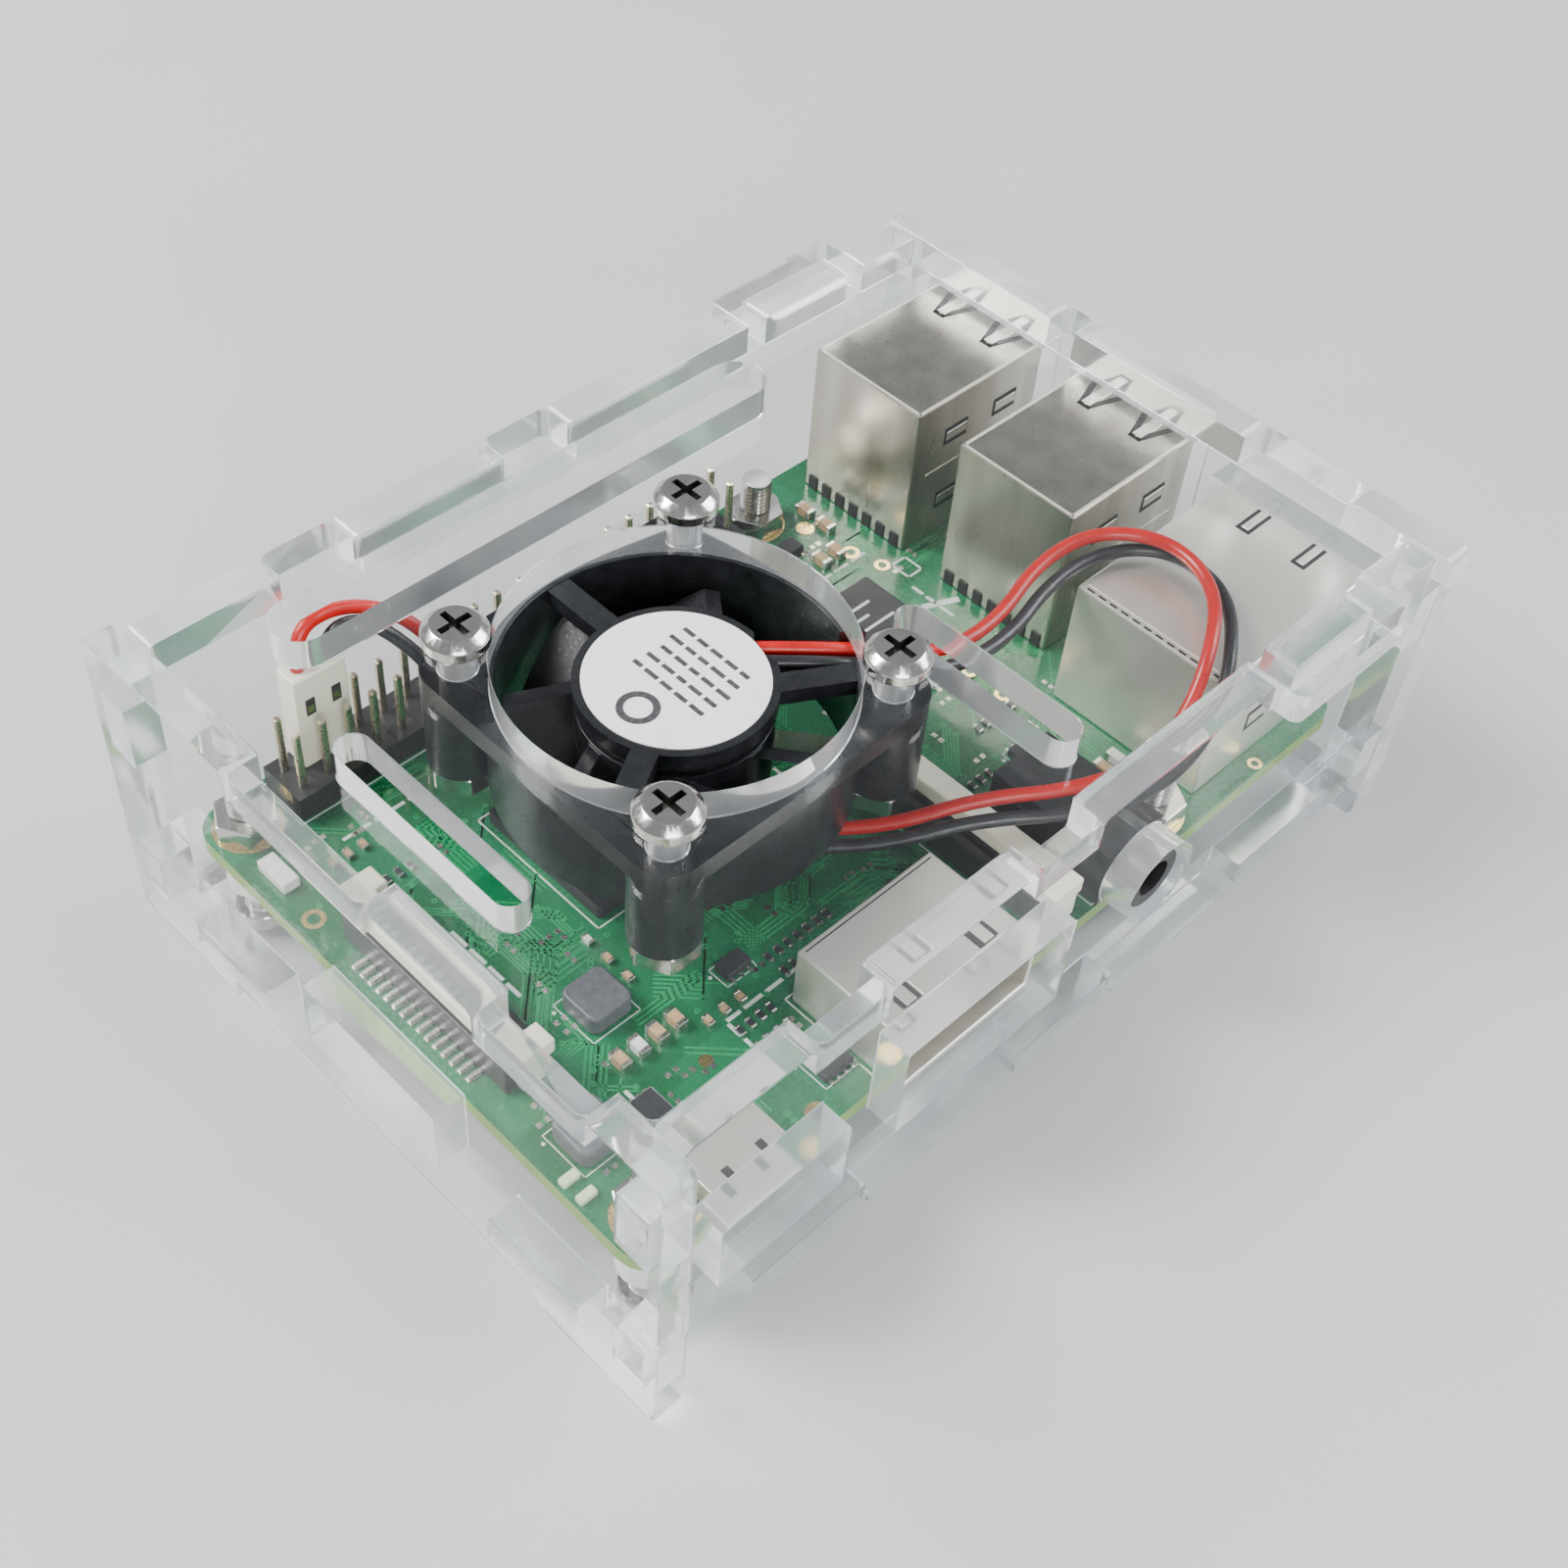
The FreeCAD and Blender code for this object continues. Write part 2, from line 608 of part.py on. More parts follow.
def usb_stack(name, middle):
    """Two USB sockets in one folded metal shell, open towards +X."""
    low, high = "%s - usb_width / 2" % middle, "%s + usb_width / 2" % middle
    outer = block("outer", ("usb_back", "socket_face"), (low, high), ("0", "usb_height"))
    ports = []
    for bottom in ("1.3", "8.9"):
        ports.append(block("port", ("usb_back + skin", "socket_face + 1"), (low + " + skin", high + " - skin"),
                           (bottom, bottom + " + 5.8")))
    back = block("back", ("usb_back + skin", "usb_back + 6.5"), (low + " + skin", high + " - skin"),
                 ("skin", "usb_height - skin"))
    shell = node(name + "_shell", cut(name + "_shell", outer, ports + [back]))
    filler = block("filler", ("usb_back + skin", "usb_back + 6.5"), (low + " + skin", high + " - skin"),
                   ("skin", "usb_height - skin"))
    tongues, contacts = [], []
    for bottom in ("4.3", "11.9"):
        tongues.append(block("tongue", ("usb_back + 6.5", "socket_face - 1.2"),
                             (middle + " - 5.5", middle + " + 5.5"), (bottom, bottom + " + 1.8")))
        for offset in (-3.5, -1.0, 1.0, 3.5):
            y = "%s + %s" % (middle, offset)
            contacts.append(block("contact", ("usb_back + 6.6", "socket_face - 2"),
                                  (y + " - 0.5", y + " + 0.5"), (bottom + " - 0.2", bottom)))
    node(name + "_insulator", fuse(name + "_insulator", [filler] + tongues))
    node(name + "_contacts", group(name + "_contacts", contacts))
    return shell


def network_socket():
    """The network jack: metal shell, moulded insert with the plug's cavity, contacts and lamps."""
    low, high = "jack_low_y", "jack_low_y + jack_width"
    middle = "jack_low_y + jack_width / 2"
    outer = block("outer", ("jack_back", "socket_face"), (low, high), ("0", "jack_height"))
    inner = block("inner", ("jack_back + skin", "socket_face + 1"), (low + " + skin", high + " - skin"),
                  ("-1", "jack_height - skin"))
    node("ethernet_shell", cut("ethernet_shell", outer, [inner]))
    insert = block("insert", ("jack_back + skin", "socket_face - 0.3"), (low + " + skin", high + " - skin"),
                   ("0", "jack_height - skin"))
    cavity = block("cavity", ("socket_face - 12.5", "socket_face"), (middle + " - 5.95", middle + " + 5.95"),
                   ("3.4", "10.2"))
    latch = block("latch_way", ("socket_face - 12.5", "socket_face"), (middle + " - 3.1", middle + " + 3.1"),
                  ("1.6", "4"))
    windows = []
    for side in ("%s + 2.6" % low, "%s - 2.6" % high):
        windows.append(block("window", ("socket_face - 3", "socket_face"), (side + " - 1.5", side + " + 1.5"),
                             ("10.7", "12.6")))
    node("ethernet_housing", cut("ethernet_housing", insert, [fuse("plug_space", [cavity, latch])] + windows))
    contacts, lamps = [], []
    for number in range(8):
        y = "%s + %s" % (middle, (number - 3.5) * 1.02)
        contacts.append(block("contact", ("socket_face - 12", "socket_face - 4"), (y + " - 0.2", y + " + 0.2"),
                              ("9.9", "10.2")))
    for side in ("%s + 2.6" % low, "%s - 2.6" % high):
        lamps.append(block("lamp", ("socket_face - 3", "socket_face - 0.3"), (side + " - 1.5", side + " + 1.5"),
                           ("10.7", "12.6")))
    node("ethernet_contacts", group("ethernet_contacts", contacts))
    node("ethernet_lamps", group("ethernet_lamps", lamps))


def video_socket():
    """The video socket, open towards -Y: shell, tongue and contacts."""
    low, high = "video_x", "video_x + video_width"
    middle = "video_x + video_width / 2"
    outer = block("outer", (low, high), ("video_front", "video_back"), ("0", "video_height"))
    inner = block("inner", (low + " + skin", high + " - skin"), ("video_front - 1", "video_back - skin"),
                  ("0.6", "video_height - skin"))
    springs = []
    for side in (middle + " - 4.2", middle + " + 4.2"):
        for edge in (-0.75, 0.75):
            line = "%s + %s" % (side, edge)
            springs.append(block("spring_side", (line + " - 0.15", line + " + 0.15"), ("1.2", "3.8"),
                                 ("video_height - 1", "video_height + 1")))
        springs.append(block("spring_end", (side + " - 0.9", side + " + 0.9"), ("0.9", "1.2"),
                             ("video_height - 1", "video_height + 1")))
    node("video_shell", cut("video_shell", outer, [inner] + springs))
    filler = block("filler", (low + " + skin", high + " - skin"), ("6.4", "video_back - skin"),
                   ("0.6", "video_height - skin"))
    tongue = block("tongue", (middle + " - 6", middle + " + 6"), ("video_front + 0.9", "6.4"), ("2.6", "3.9"))
    node("video_tongue", fuse("video_tongue", [filler, tongue]))
    contacts = []
    for number in range(10):
        x = "%s + %s" % (middle, (number - 4.5) * 1.0)
        contacts.append(block("contact", (x + " - 0.22", x + " + 0.22"), ("video_front + 1.2", "6.4"),
                              ("3.9", "4.02")))
    for number in range(9):
        x = "%s + %s" % (middle, (number - 4) * 1.0)
        contacts.append(block("contact", (x + " - 0.22", x + " + 0.22"), ("video_front + 1.2", "6.4"),
                              ("2.48", "2.6")))
    node("video_contacts", group("video_contacts", contacts))


def power_socket():
    """The micro USB power socket, open towards -Y: shell and tongue."""
    low, high = "power_x", "power_x + power_width"
    outer = rounded_block("power_outer", (low, high), ("power_front", "power_back"), ("0", "power_height"),
                          "0.2")
    inner = block("inner", (low + " + 0.3", high + " - 0.3"), ("power_front - 1", "power_back - 0.3"),
                  ("0.3", "power_height - 0.3"))
    node("power_socket_shell", cut("power_socket_shell", outer, [inner]))
    filler = block("filler", (low + " + 0.3", high + " - 0.3"), ("2.6", "power_back - 0.3"),
                   ("0.3", "power_height - 0.3"))
    tongue = block("tongue", (low + " + 1.8", high + " - 1.8"), ("power_front + 0.7", "2.6"), ("1.3", "1.9"))
    node("power_socket_tongue", fuse("power_socket_tongue", [filler, tongue]))


def audio_socket():
    """The round audio socket, open towards -Y: moulded body with its barrel, and spring contacts."""
    middle = "audio_x + audio_width / 2"
    box = block("box", ("audio_x", "audio_x + audio_width"), ("0", "audio_back"), ("0", "audio_height"))
    barrel = rod_along_y("barrel", middle, ("-barrel_reach", "0"), "audio_height / 2", "barrel_radius")
    bore = rod_along_y("bore", middle, ("-barrel_reach - 1", "audio_back - 1"), "audio_height / 2",
                       "audio_bore")
    pockets = []
    springs = []
    for y in (3.0, 8.6):
        for left, right in (("audio_x", "audio_x + 0.5"),
                            ("audio_x + audio_width - 0.5", "audio_x + audio_width")):
            pockets.append(block("spring_pocket", (left, right), (y, y + 2), ("0", "4.4")))
            springs.append(block("spring", (left, right), (y, y + 2), ("0", "4.4")))
    node("audio_jack_body", cut("audio_jack_body", fuse("audio_raw", [box, barrel]), [bore] + pockets))
    node("audio_jack_contacts", group("audio_jack_contacts", springs))


def ribbon_connector(name, x, y, latch_name, way):
    """A ribbon connector along Y. Its contacts leave the face at x, and way is the side the body is on."""

    def across(near, far):
        if way > 0:
            return "%s + (%s)" % (x, near), "%s + (%s)" % (x, far)
        return "%s - (%s)" % (x, far), "%s - (%s)" % (x, near)

    end = "%s + ribbon_length" % y
    leg = "1"
    low, high = "%s + %s + ribbon_gap" % (y, leg), "%s - %s - ribbon_gap" % (end, leg)
    body = block("body", across(0, 3.9), (low, high), ("0", "ribbon_body_height"))
    slot = block("slot", across(2.6, 3.1), (low + " + 1.2", high + " - 1.2"),
                 ("0.8", "ribbon_body_height + 1"))
    node(name + "_connector_body", cut(name + "_connector_body", body, [slot]))
    contacts = []
    for number in range(15):
        place = "%s + ribbon_length / 2 + %s" % (y, number - 7)
        contacts.append(block("contact", across(-1.3, 0), (place + " - 0.2", place + " + 0.2"),
                              ("0", "0.35")))
    node(name + "_connector_contacts", group(name + "_connector_contacts", contacts))
    under_side = "ribbon_body_height + ribbon_gap"
    bar = block("bar", across(0.3, 2.5), (y, end), (under_side, "ribbon_body_height + 1.7"))
    pieces = [bar]
    for start, stop in ((y, "%s + 2.2" % y), ("%s - 2.2" % end, end)):
        pieces.append(block("lug", across(0.3, 3.9), (start, stop),
                            (under_side, "ribbon_body_height + 1.7")))
    for start, stop in ((y, "%s + %s" % (y, leg)), ("%s - %s" % (end, leg), end)):
        pieces.append(block("leg", across(0.8, 3.2), (start, stop), ("0.9", under_side)))
    node(latch_name, fuse(latch_name, pieces))


def card_socket():
    """The memory card socket under the board, open towards -X: folded shell and moulded frame."""
    outer = block("outer", (1.5, 16), (21, 35), ("-board_thick - 1.9", "-board_thick"))
    inner = block("inner", (0.5, 15.8), (21.2, 34.8), ("-board_thick - 1.7", "-board_thick + 1"))
    node("card_socket_shell", cut("card_socket_shell", outer, [inner]))
    floor = block("floor", (1.8, 15.8), (21.2, 34.8), ("-board_thick - 0.4", "-board_thick"))
    stop = block("stop", (14.4, 15.8), (21.2, 34.8), ("-board_thick - 1.7", "-board_thick - 0.4"))
    rail = block("rail", (1.8, 14.4), (21.2, 22.2), ("-board_thick - 1.7", "-board_thick - 0.4"))
    node("card_socket_frame", fuse("card_socket_frame", [floor, stop, rail]))


# ---------------------------------------------------------------- fan


def turned_block(name, angle, along, across, z, tilt=0):
    """A box that points away from the fan's axis at an angle; along, across and z are plain pairs."""
    item = doc.addObject("Part::Box", name)
    item.Length = along[1] - along[0]
    item.Width = across[1] - across[0]
    item.Height = z[1] - z[0]
    middle = (z[0] + z[1]) / 2
    centre = FreeCAD.Placement(FreeCAD.Vector(along[0], across[0], z[0] - middle), FreeCAD.Rotation())
    pitch = FreeCAD.Placement(FreeCAD.Vector(0, 0, middle), FreeCAD.Rotation(FreeCAD.Vector(1, 0, 0), tilt))
    swing = FreeCAD.Placement(spot(size("fan_x"), size("fan_y"), 0), FreeCAD.Rotation(UP, angle))
    item.Placement = swing.multiply(pitch).multiply(centre)
    return item


def on_axis(name, z, radius):
    """A cylinder on the fan's axis."""
    return post(name, "fan_x", "fan_y", z, radius)


def fan_frame():
    """The square frame: flange, duct, corner columns, three struts, the motor's base and the wires' way out."""
    half = "fan_side / 2"
    bottom, top = "lid_under - fan_height", "lid_under"
    flange = rounded_block("flange", ("fan_x - " + half, "fan_x + " + half),
                           ("fan_y - " + half, "fan_y + " + half),
                           ("lid_under - flange_thick", top), "column_radius - 0.2")
    duct = on_axis("duct", (bottom, top), half)
    columns = [post("column", x, y, (bottom, top), "column_radius - 0.2") for x, y in fan_screw_places()]
    holes = [post("hole", x, y, (bottom, top), "fan_screw_radius + 0.1") for x, y in fan_screw_places()]
    bore = on_axis("bore", (bottom, top), "duct_radius")
    ring = cut("fan_ring", fuse("fan_solid", [flange, duct] + columns), [bore] + holes)
    lid_under = size("lid_under")
    struts = [turned_block("strut", angle, (7, size("duct_radius") + 0.2), across,
                           (lid_under - 1.6, lid_under - 0.1))
              for angle, across in ((90, (-1.1, 1.1)), (210, (-1.1, 1.1)), (330, (-2.9, -0.9)))]
    base = on_axis("base", (top + " - 1.6", top + " - 0.1"), "hub_radius + 0.2")
    wire_way = turned_block("wire_way", -41, (6.3, 24), (2.05, 5.2), (lid_under - 2, lid_under))
    node("fan_frame", cut("fan_frame", fuse("frame_solid", [ring, base] + struts), [wire_way]))


def fan_motor():
    """What stands still inside the hub: bearing, stator, motor board and the label on the base."""
    base_under = "lid_under - 1.6"
    tube = on_axis("tube", ("lid_under - 7.8", base_under), "shaft_radius + 1.2")
    bore = on_axis("bore", ("lid_under - 7.8", base_under), "shaft_radius + shaft_play")
    node("fan_bearing", cut("fan_bearing", tube, [bore]))
    z = (size("lid_under") - 6.6, size("lid_under") - 3.2)
    core = on_axis("core", ("lid_under - 6.6", "lid_under - 3.2"), "3.4")
    arms = [turned_block("arm", angle, (2, 5.6), (-0.8, 0.8), z) for angle in (45, 135, 225, 315)]
    coils = [turned_block("winding", angle, (3.3, 5), (-1.5, 1.5), (z[0] + 0.5, z[1] - 0.5))
             for angle in (45, 135, 225, 315)]
    ring = on_axis("ring", ("lid_under - 6.6", "lid_under - 3.2"), "6.1")
    ring_bore = on_axis("ring_bore", ("lid_under - 6.6", "lid_under - 3.2"), "5.2")
    gaps = [turned_block("gap", angle, (4, 7), (-0.7, 0.7), z) for angle in (0, 90, 180, 270)]
    shoes = cut("shoes", ring, [ring_bore] + gaps)
    centre = on_axis("centre", ("lid_under - 7", "lid_under - 3"), "shaft_radius + 1.2")
    node("fan_stator", cut("fan_stator", fuse("stator_solid", [core, shoes] + arms + coils), [centre]))
    disc = on_axis("disc", (base_under + " - 0.8", base_under), "6.9")
    middle = on_axis("middle", (base_under + " - 0.8", base_under), "shaft_radius + 1.2")
    node("fan_motor_board", cut("fan_motor_board", disc, [middle]))
    node("fan_label", on_axis("fan_label", ("lid_under - 0.1", "lid_under"), "hub_radius - 0.5"))


def fan_rotor():
    """What spins: the hub with seven pitched blades, its magnet ring and its shaft."""
    bottom, top = "lid_under - 9.3", "lid_under - 2.7"
    cup = on_axis("cup", (bottom, top), "hub_radius")
    hollow = on_axis("hollow", ("lid_under - 8.3", top), "hub_radius - 0.5")
    hole = on_axis("hole", (bottom, top), "shaft_radius")
    blades = [turned_block("blade", 360 * i / 7, (6, 16), (-0.4, 0.4), (-1, 23), 52) for i in range(7)]
    zone = cut("blade_zone", on_axis("sweep", ("lid_under - 9", "lid_under - 2.9"), "blade_tip_radius"),
               [on_axis("inside", ("lid_under - 9.5", "lid_under - 2"), "hub_radius - 0.3")])
    fins = common("fins", fuse("blade_set", blades), zone)
    hub = cut("hub", cup, [hollow, hole])
    node("fan_rotor", fuse("fan_rotor", [hub, fins]))
    magnet = on_axis("magnet", ("lid_under - 7.8", "lid_under - 3.1"), "hub_radius - 0.5")
    magnet_bore = on_axis("magnet_bore", ("lid_under - 7.8", "lid_under - 3.1"), "hub_radius - 1.5")
    node("fan_magnet_ring", cut("fan_magnet_ring", magnet, [magnet_bore]))
    node("fan_shaft", on_axis("fan_shaft", ("lid_under - 9.3", "lid_under - 2"), "shaft_radius"))


# ---------------------------------------------------------------- wires


RED_ROUTE = [(37.6, 29.1, 16.0), (43.4, 24.1, 16.0), (49.5, 19.6, 14.6), (56.5, 19.4, 14.2),
             (63.5, 21.2, 15.4), (70.0, 20.2, 16.0), (74.0, 15.0, 16.0), (72.2, 8.8, 15.9),
             (66.0, 4.6, 16.0), (61.6, 2.8, 12.6), (56.8, 2.8, 9.8), (50.6, 5.4, 9.3),
             (44.4, 9.8, 9.2), (38.2, 14.8, 5.7), (31.5, 22.5, 4.6), (26.2, 31.5, 4.4),
             (23.9, 40.5, 4.4), (23.3, 47.2, 6.0), (22.2, 50.4, 10.8), (19.6, 52.9, 14.4),
             (15.6, 54.7, 15.9), (11.2, 54.3, 15.9), (10.91, 53.81, 12.4)]
BLACK_ROUTE = [(36.9, 27.6, 16.0), (42.5, 22.8, 16.0), (48.6, 18.3, 14.0), (56.4, 17.9, 13.3),
               (63.4, 19.6, 14.2), (69.8, 19.0, 14.6), (74.6, 15.0, 14.6), (73.8, 8.0, 14.6),
               (65.4, 2.0, 15.0), (61.6, 0.6, 10.9), (56.4, 1.2, 8.1), (49.9, 4.2, 7.8),
               (43.5, 9.0, 8.0), (37.2, 13.9, 5.0), (30.2, 21.5, 4.2), (24.8, 30.9, 4.0),
               (22.3, 40.2, 4.2), (21.7, 46.9, 6.0), (20.5, 49.9, 10.2), (18.4, 52.2, 13.4),
               (16.4, 53.3, 14.9), (13.8, 53.4, 14.9), (13.45, 53.81, 12.4)]


def wire_path(name, points):
    """Straight runs joined by tangent arcs that are as large as the runs allow."""
    runs = [(after - before).Length for before, after in zip(points, points[1:])]
    edges = []
    radii = []
    start = points[0]
    for i in range(1, len(points) - 1):
        before = (points[i - 1] - points[i]).normalize()
        after = (points[i + 1] - points[i]).normalize()
        half_turn = (math.pi - before.getAngle(after)) / 2
        reach = 0.45 * min(runs[i - 1], runs[i])
        radius = reach / math.tan(half_turn)
        enter = points[i] + before * reach
        leave = points[i] + after * reach
        inward = (before + after).normalize()
        middle = points[i] + inward * (radius / math.cos(half_turn) - radius)
        edges.append(Part.LineSegment(start, enter).toShape())
        edges.append(Part.Arc(enter, middle, leave).toShape())
        radii.append(radius)
        start = leave
    edges.append(Part.LineSegment(start, points[-1]).toShape())
    print("%s: length %.1f, radii %s" % (name, sum(edge.Length for edge in edges),
                                        " ".join("%.1f" % radius for radius in radii)))
    return Part.Wire(edges)


def wire(name, route):
    """A round wire along its route, checked against its section times its length."""
    points = [spot(*point) for point in route]
    path = wire_path(name, points)
    radius = size("wire_diameter") / 2
    section = Part.Wire(Part.Circle(points[0], points[1] - points[0], radius).toShape())
    solid = path.makePipeShell([section], True, False)
    expected = math.pi * radius ** 2 * path.Length
    if abs(solid.Volume / expected - 1) > 0.01:
        raise RuntimeError("%s has volume %.2f, not %.2f" % (name, solid.Volume, expected))
    item = doc.addObject("Part::Feature", name)
    item.Shape = solid
    node(name, item)


def fan_lead():
    """The fan's two wires and the two-way plug that they end in, pushed over two header pins."""
    wire("fan_wire_red", RED_ROUTE)
    wire("fan_wire_black", BLACK_ROUTE)
    first = "pin_first_x + pin_pitch"
    second = "pin_first_x + 2 * pin_pitch"
    y = "pin_first_y + pin_pitch"
    low = first + " - pin_pitch / 2"
    box = block("plug_box", (low, second + " + pin_pitch / 2"), (y + " - 1.25", y + " + 1.25"),
                ("header_height", "plug_top"))
    half = "(pin_side / 2 + 0.05)"
    ways = [block("way", (x + " - " + half, x + " + " + half), (y + " - " + half, y + " + " + half),
                  ("header_height", "pin_top + 0.3")) for x in (first, second)]
    node("fan_plug", cut("fan_plug", box, ways))


def build():
    """Make every sub-part."""
    case()
    header_and_board()
    fasteners()
    chips()
    small_parts()
    usb_stack("inner_usb", "usb_one_y")
    usb_stack("outer_usb", "usb_two_y")
    network_socket()
    video_socket()
    power_socket()
    audio_socket()
    ribbon_connector("display", "display_x", "display_y", "display_latch", 1)
    ribbon_connector("camera", "camera_x", "camera_y", "camera_latch", -1)
    card_socket()
    fan_frame()
    fan_motor()
    fan_rotor()
    fan_lead()


def check_and_write():
    """Refuse a failed object or a bad shape, then write each sub-part's file."""
    doc.recompute()
    for item in doc.Objects:
        if "Invalid" in item.State or "Error" in item.State:
            raise RuntimeError("%s failed: %s" % (item.Label, item.State))
    for item in nodes:
        if item.Shape.isNull() or not item.Shape.isValid():
            raise RuntimeError("%s has a bad shape" % item.Label)
    os.makedirs("parts", exist_ok=True)
    for item in nodes:
        item.Shape.exportStep("parts/%s.step" % item.Label)
        print("%-28s solids %2d volume %9.2f" % (item.Label, len(item.Shape.Solids), item.Shape.Volume))
    print(len(nodes), "sub-parts")


build()
check_and_write()
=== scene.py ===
import math
import random

import bmesh
import bpy
from mathutils import Matrix, Vector


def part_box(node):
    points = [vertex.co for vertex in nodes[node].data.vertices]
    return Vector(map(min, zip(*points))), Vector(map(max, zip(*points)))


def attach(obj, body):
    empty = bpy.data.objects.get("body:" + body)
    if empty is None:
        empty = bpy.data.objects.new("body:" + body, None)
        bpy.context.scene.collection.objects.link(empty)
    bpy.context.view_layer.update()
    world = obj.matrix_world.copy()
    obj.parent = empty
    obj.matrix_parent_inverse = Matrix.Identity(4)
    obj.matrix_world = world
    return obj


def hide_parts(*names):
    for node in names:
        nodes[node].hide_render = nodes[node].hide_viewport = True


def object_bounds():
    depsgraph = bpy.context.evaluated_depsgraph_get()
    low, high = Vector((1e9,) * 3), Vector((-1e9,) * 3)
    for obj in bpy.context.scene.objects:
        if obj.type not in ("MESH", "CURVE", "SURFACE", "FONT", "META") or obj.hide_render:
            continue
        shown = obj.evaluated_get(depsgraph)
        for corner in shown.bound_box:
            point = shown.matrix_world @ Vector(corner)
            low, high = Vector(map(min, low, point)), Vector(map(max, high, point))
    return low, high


# A single board computer in a clear case with a fan in its lid.
#
# Places are in millimetres in the board's own coordinates, as in the CAD source: the origin is the
# board's corner beside the power socket, on its top face, X runs towards the USB sockets, Y towards
# the pin header and Z up. at() turns them into the frame's metres.

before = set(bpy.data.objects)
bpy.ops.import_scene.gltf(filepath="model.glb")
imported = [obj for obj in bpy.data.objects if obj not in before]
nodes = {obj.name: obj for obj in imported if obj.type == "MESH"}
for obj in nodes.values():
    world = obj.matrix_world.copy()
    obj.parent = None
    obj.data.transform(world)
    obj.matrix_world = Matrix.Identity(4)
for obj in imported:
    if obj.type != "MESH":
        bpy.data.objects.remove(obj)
cad_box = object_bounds()
MM = 0.001
MAIN = "case_and_board"
board_low, board_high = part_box("circuit_board")
CORNER = Vector((board_low.x, board_low.y, board_high.z))


def at(x, y, z):
    """A point in the frame, in metres, from millimetres in the board's coordinates."""
    return CORNER + Vector((x, y, z)) * MM


def on_board(node):
    """A CAD node's box in the board's coordinates, in millimetres."""
    low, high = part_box(node)
    return (low - CORNER) / MM, (high - CORNER) / MM


FAN = (sum(on_board("fan_label"), Vector()) / 2).xy
LID_TOP = on_board("top_panel")[1].z
USB_FACE = on_board("inner_usb_shell")[1].x
USB_BACK = on_board("inner_usb_shell")[0].x
USB_TOP = on_board("inner_usb_shell")[1].z
USB_MIDDLES = [sum(on_board(name), Vector()).y / 2
               for name in ("inner_usb_shell", "outer_usb_shell")]
BOARD_LONG, BOARD_WIDE = 85, 56
FIXING_HOLES = [(3.5, 3.5), (61.5, 3.5), (3.5, 52.5), (61.5, 52.5)]
COPPER = 0.022  # height of a drawn track
PRINT = 0.03  # height of drawn print


# ---------------------------------------------------------------- camera


def make_camera():
    """The camera, from above the power socket's corner, rolled a little."""
    data = bpy.data.cameras.new("camera")
    data.lens = 47.7
    data.sensor_width = 36
    data.clip_start = 0.01
    camera = bpy.data.objects.new("camera", data)
    bpy.context.scene.collection.objects.link(camera)
    place, aim = at(-49.5, -51.4, 132.6), at(40.0, 26.6, 0)
    roll = math.radians(5.7)
    camera.rotation_mode = "QUATERNION"
    turn = (aim - place).to_track_quat("-Z", "Y").to_matrix() @ Matrix.Rotation(roll, 3, "Z")
    camera.rotation_quaternion = turn.to_quaternion()
    camera.location = place
    bpy.context.scene.camera = camera


make_camera()


# ---------------------------------------------------------------- materials


class Shader:
    """A node material built round one Principled shader."""

    def __init__(self, name):
        self.material = bpy.data.materials.new(name)
        self.material.use_nodes = True
        self.tree = self.material.node_tree
        self.main = self.tree.nodes["Principled BSDF"]
        self.place = self.tree.nodes.new("ShaderNodeTexCoord").outputs["Object"]

    def put(self, kind, **values):
        """A new node with some of its inputs set."""
        item = self.tree.nodes.new(kind)
        for key, value in values.items():
            item.inputs[key.replace("_", " ")].default_value = value
        return item

    def link(self, source, target):
        self.tree.links.new(source, target)

    def noise(self, scale, detail=3.0, stretch=None):
        """Noise over the piece; scale is in features per metre."""
        item = self.put("ShaderNodeTexNoise", Scale=scale, Detail=detail)
        source = self.place
        if stretch:
            mapping = self.put("ShaderNodeMapping", Scale=stretch)
            self.link(source, mapping.inputs["Vector"])
            source = mapping.outputs["Vector"]
        self.link(source, item.inputs["Vector"])
        return item.outputs["Fac"]

    def ranged(self, source, low, high, start=0.3, stop=0.7):
        """The source spread from low to high."""
        item = self.put("ShaderNodeMapRange", From_Min=start, From_Max=stop, To_Min=low, To_Max=high)
        self.link(source, item.inputs["Value"])
        return item.outputs["Result"]

    def mixed(self, source, first, second):
        """A colour between two, by the source."""
        item = self.tree.nodes.new("ShaderNodeMix")
        item.data_type = "RGBA"
        self.link(source, item.inputs[0])
        for place, colour in ((6, first), (7, second)):
            if isinstance(colour, bpy.types.NodeSocket):
                self.link(colour, item.inputs[place])
            else:
                item.inputs[place].default_value = (*colour, 1)
        return item.outputs[2]

    def bump(self, source, distance, strength=0.4):
        """Raise the surface by the source; distance is in metres."""
        item = self.put("ShaderNodeBump", Distance=distance, Strength=strength)
        self.link(source, item.inputs["Height"])
        self.link(item.outputs["Normal"], self.main.inputs["Normal"])


def surface(name, colour, other, grain, rough, metal=0.0, bump=0.0, coat=0.0, stretch=None):
    """An opaque material: two near colours in a grain, uneven roughness and a fine bump.

    The grain is in features per metre, rough is (lowest, highest), and the bump is in metres.
    """
    shader = Shader(name)
    coarse = shader.noise(grain, stretch=stretch)
    shader.link(shader.mixed(shader.ranged(coarse, 0, 1), colour, other),
                shader.main.inputs["Base Color"])
    fine = shader.noise(grain * 5, stretch=stretch)
    shader.link(shader.ranged(fine, *rough), shader.main.inputs["Roughness"])
    shader.main.inputs["Metallic"].default_value = metal
    shader.main.inputs["Coat Weight"].default_value = coat
    shader.main.inputs["Coat Roughness"].default_value = 0.1
    if bump:
        shader.bump(fine, bump)
    return shader.material


